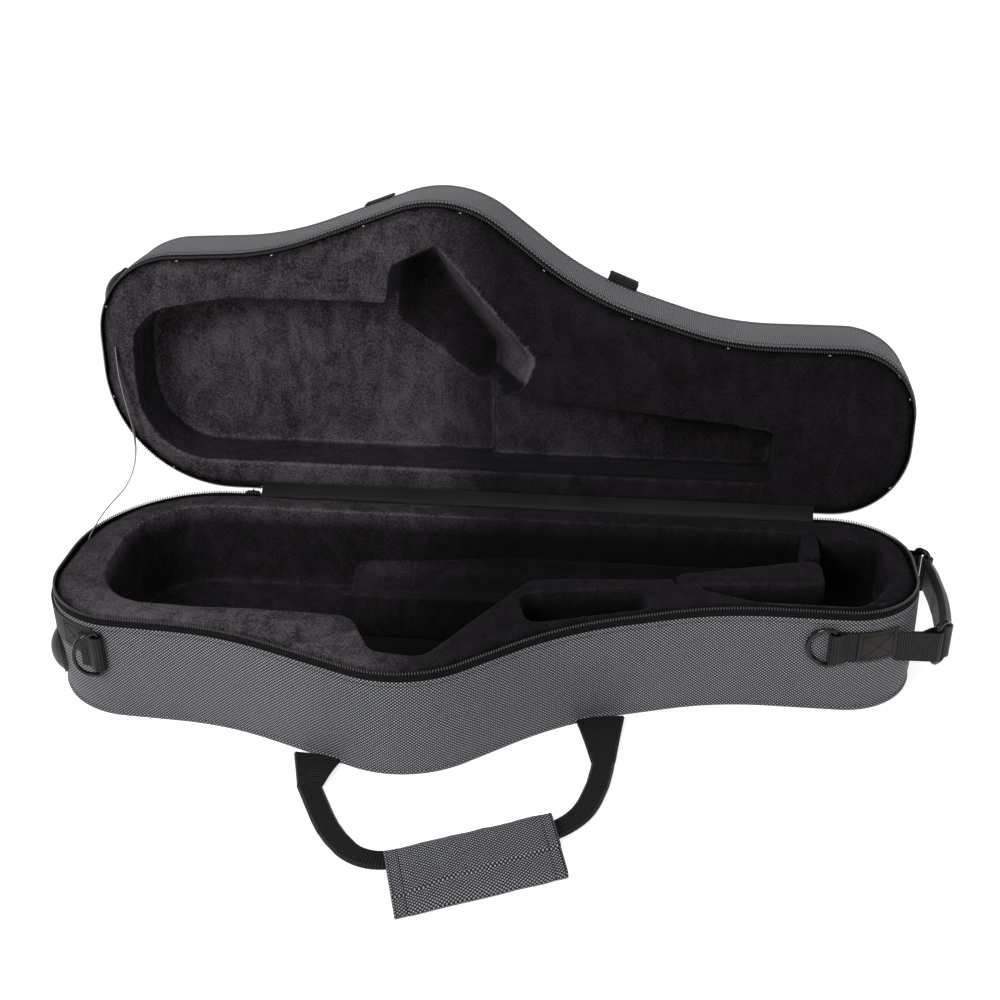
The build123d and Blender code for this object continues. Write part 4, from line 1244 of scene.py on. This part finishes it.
# The bow of the left ring is shorter than in its solid
ringFit = {"reach": 0.86}
mesh = mergedMesh(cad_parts["left_d_ring"])
ring = linked("leftStrapRing", mesh)
bar, along, outward = wallFrame(straps["leftHeight"], x=straps["leftShare"] * halfLength)
bar += outward * ringLift
middle = sum((v.co for v in mesh.vertices), Vector()) / len(mesh.vertices)
inPlane = Vector((middle.x - bar.x, middle.y - bar.y, 0)).normalized()
squeeze = Matrix.Scale(ringFit["reach"], 4, inPlane)
mesh.transform(Matrix.Translation(bar) @ squeeze @ Matrix.Translation(-bar))
dressed(shaded(ring), ringGloss, "left_ring", ("left_d_ring",))

# Rigid pieces keep their solids

for node, material in (("right_d_ring", ringGloss), ("left_slider", ringGloss),
                       ("right_slider", ringGloss), ("left_pull", ringGloss), ("right_pull", ringGloss),
                       ("base_foot_front", footRubber), ("base_foot_rear", footRubber),
                       ("lid_foot_front", footRubber), ("lid_foot_rear", footRubber),
                       ("end_clip_front", clipGloss), ("end_clip_rear", clipGloss)):
    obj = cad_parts[node]
    obj.data.materials.clear()
    obj.data.materials.append(material)


# Studio

studio = {"floor": 14.0, "floorTone": 0.86, "glow": 0.68, "world": 0.38,
          "key": ((-1.1, -1.6, 1.45), 0.9, 31.0), "fill": ((1.5, -1.3, 1.0), 1.2, 7.5),
          "top": ((-0.2, 0.4, 2.0), 1.4, 5.0)}
photoView = {"lens": 50.4, "sensor": 36.0, "at": (0.1221, -0.9009, 0.668),
             "right": (0.99368, 0.11177, -0.01057), "above": (-0.04531, 0.48539, 0.87314),
             "ahead": (-0.10271, 0.86714, -0.48738)}
camera = bpy.data.objects.new("photoCamera", bpy.data.cameras.new("photoCamera"))
camera.data.lens, camera.data.sensor_width = photoView["lens"], photoView["sensor"]
right, above, ahead = (Vector(photoView[key]) for key in ("right", "above", "ahead"))
turned = Matrix((right, above, -ahead)).transposed().to_4x4()
turned.translation = Vector(photoView["at"])
camera.matrix_world = turned
bpy.context.scene.collection.objects.link(camera)
bpy.context.scene.camera = camera


def areaLight(name, at, size, energy, target=(0, 0.05, 0.12)):
    data = bpy.data.lights.new(name, "AREA")
    data.shape, data.size, data.energy = "DISK", size, energy
    obj = bpy.data.objects.new(name, data)
    obj.location = at
    obj.rotation_euler = (Vector(target) - Vector(at)).to_track_quat("-Z", "Y").to_euler()
    bpy.context.scene.collection.objects.link(obj)


for name in ("key", "fill", "top"):
    areaLight(name + "Light", *studio[name])

floorMesh = bpy.data.meshes.new("floor")
size = studio["floor"]
floorMesh.from_pydata([(-size, -size, 0), (size, -size, 0), (size, size, 0), (-size, size, 0)], [],
                      [(0, 1, 2, 3)])
floor = linked("floor", floorMesh)
f = Finish("paleFloor")
direct, glossy = (f.node("ShaderNodeLightPath", {}, {}, ray) for ray in ("Is Camera Ray", "Is Glossy Ray"))
seen = direct + glossy
diffuse = f.node("ShaderNodeBsdfDiffuse", {}, {"Color": colour([studio["floorTone"]] * 3)})
glow = f.node("ShaderNodeEmission", {}, {"Color": (1, 1, 1, 1), "Strength": studio["glow"]})
both = f.node("ShaderNodeAddShader", {}, {0: glow, 1: diffuse})
floorMix = f.node("ShaderNodeMixShader", {}, {0: seen.clamp(), 1: diffuse, 2: both})
output = f.tree.nodes.new("ShaderNodeOutputMaterial")
f.tree.links.new(floorMix.socket, output.inputs[0])
floorMesh.materials.append(f.material)

world = bpy.data.worlds.new("paleRoom")
bpy.context.scene.world = world
world.use_nodes = True
nodes, links = world.node_tree.nodes, world.node_tree.links
nodes.clear()
path = nodes.new("ShaderNodeLightPath")
plain, white = nodes.new("ShaderNodeBackground"), nodes.new("ShaderNodeBackground")
plain.inputs["Strength"].default_value = studio["world"]
white.inputs["Strength"].default_value = 1.0
plain.inputs["Color"].default_value = (1, 1, 1, 1)
white.inputs["Color"].default_value = (1, 1, 1, 1)
either, pick = nodes.new("ShaderNodeMath"), nodes.new("ShaderNodeMixShader")
out = nodes.new("ShaderNodeOutputWorld")
either.operation = "MAXIMUM"
links.new(path.outputs["Is Camera Ray"], either.inputs[0])
links.new(path.outputs["Is Transmission Ray"], either.inputs[1])
links.new(either.outputs[0], pick.inputs[0])
links.new(plain.outputs[0], pick.inputs[1])
links.new(white.outputs[0], pick.inputs[2])
links.new(pick.outputs[0], out.inputs[0])
bpy.context.scene.view_settings.view_transform = "Standard"
print("stage: studio")
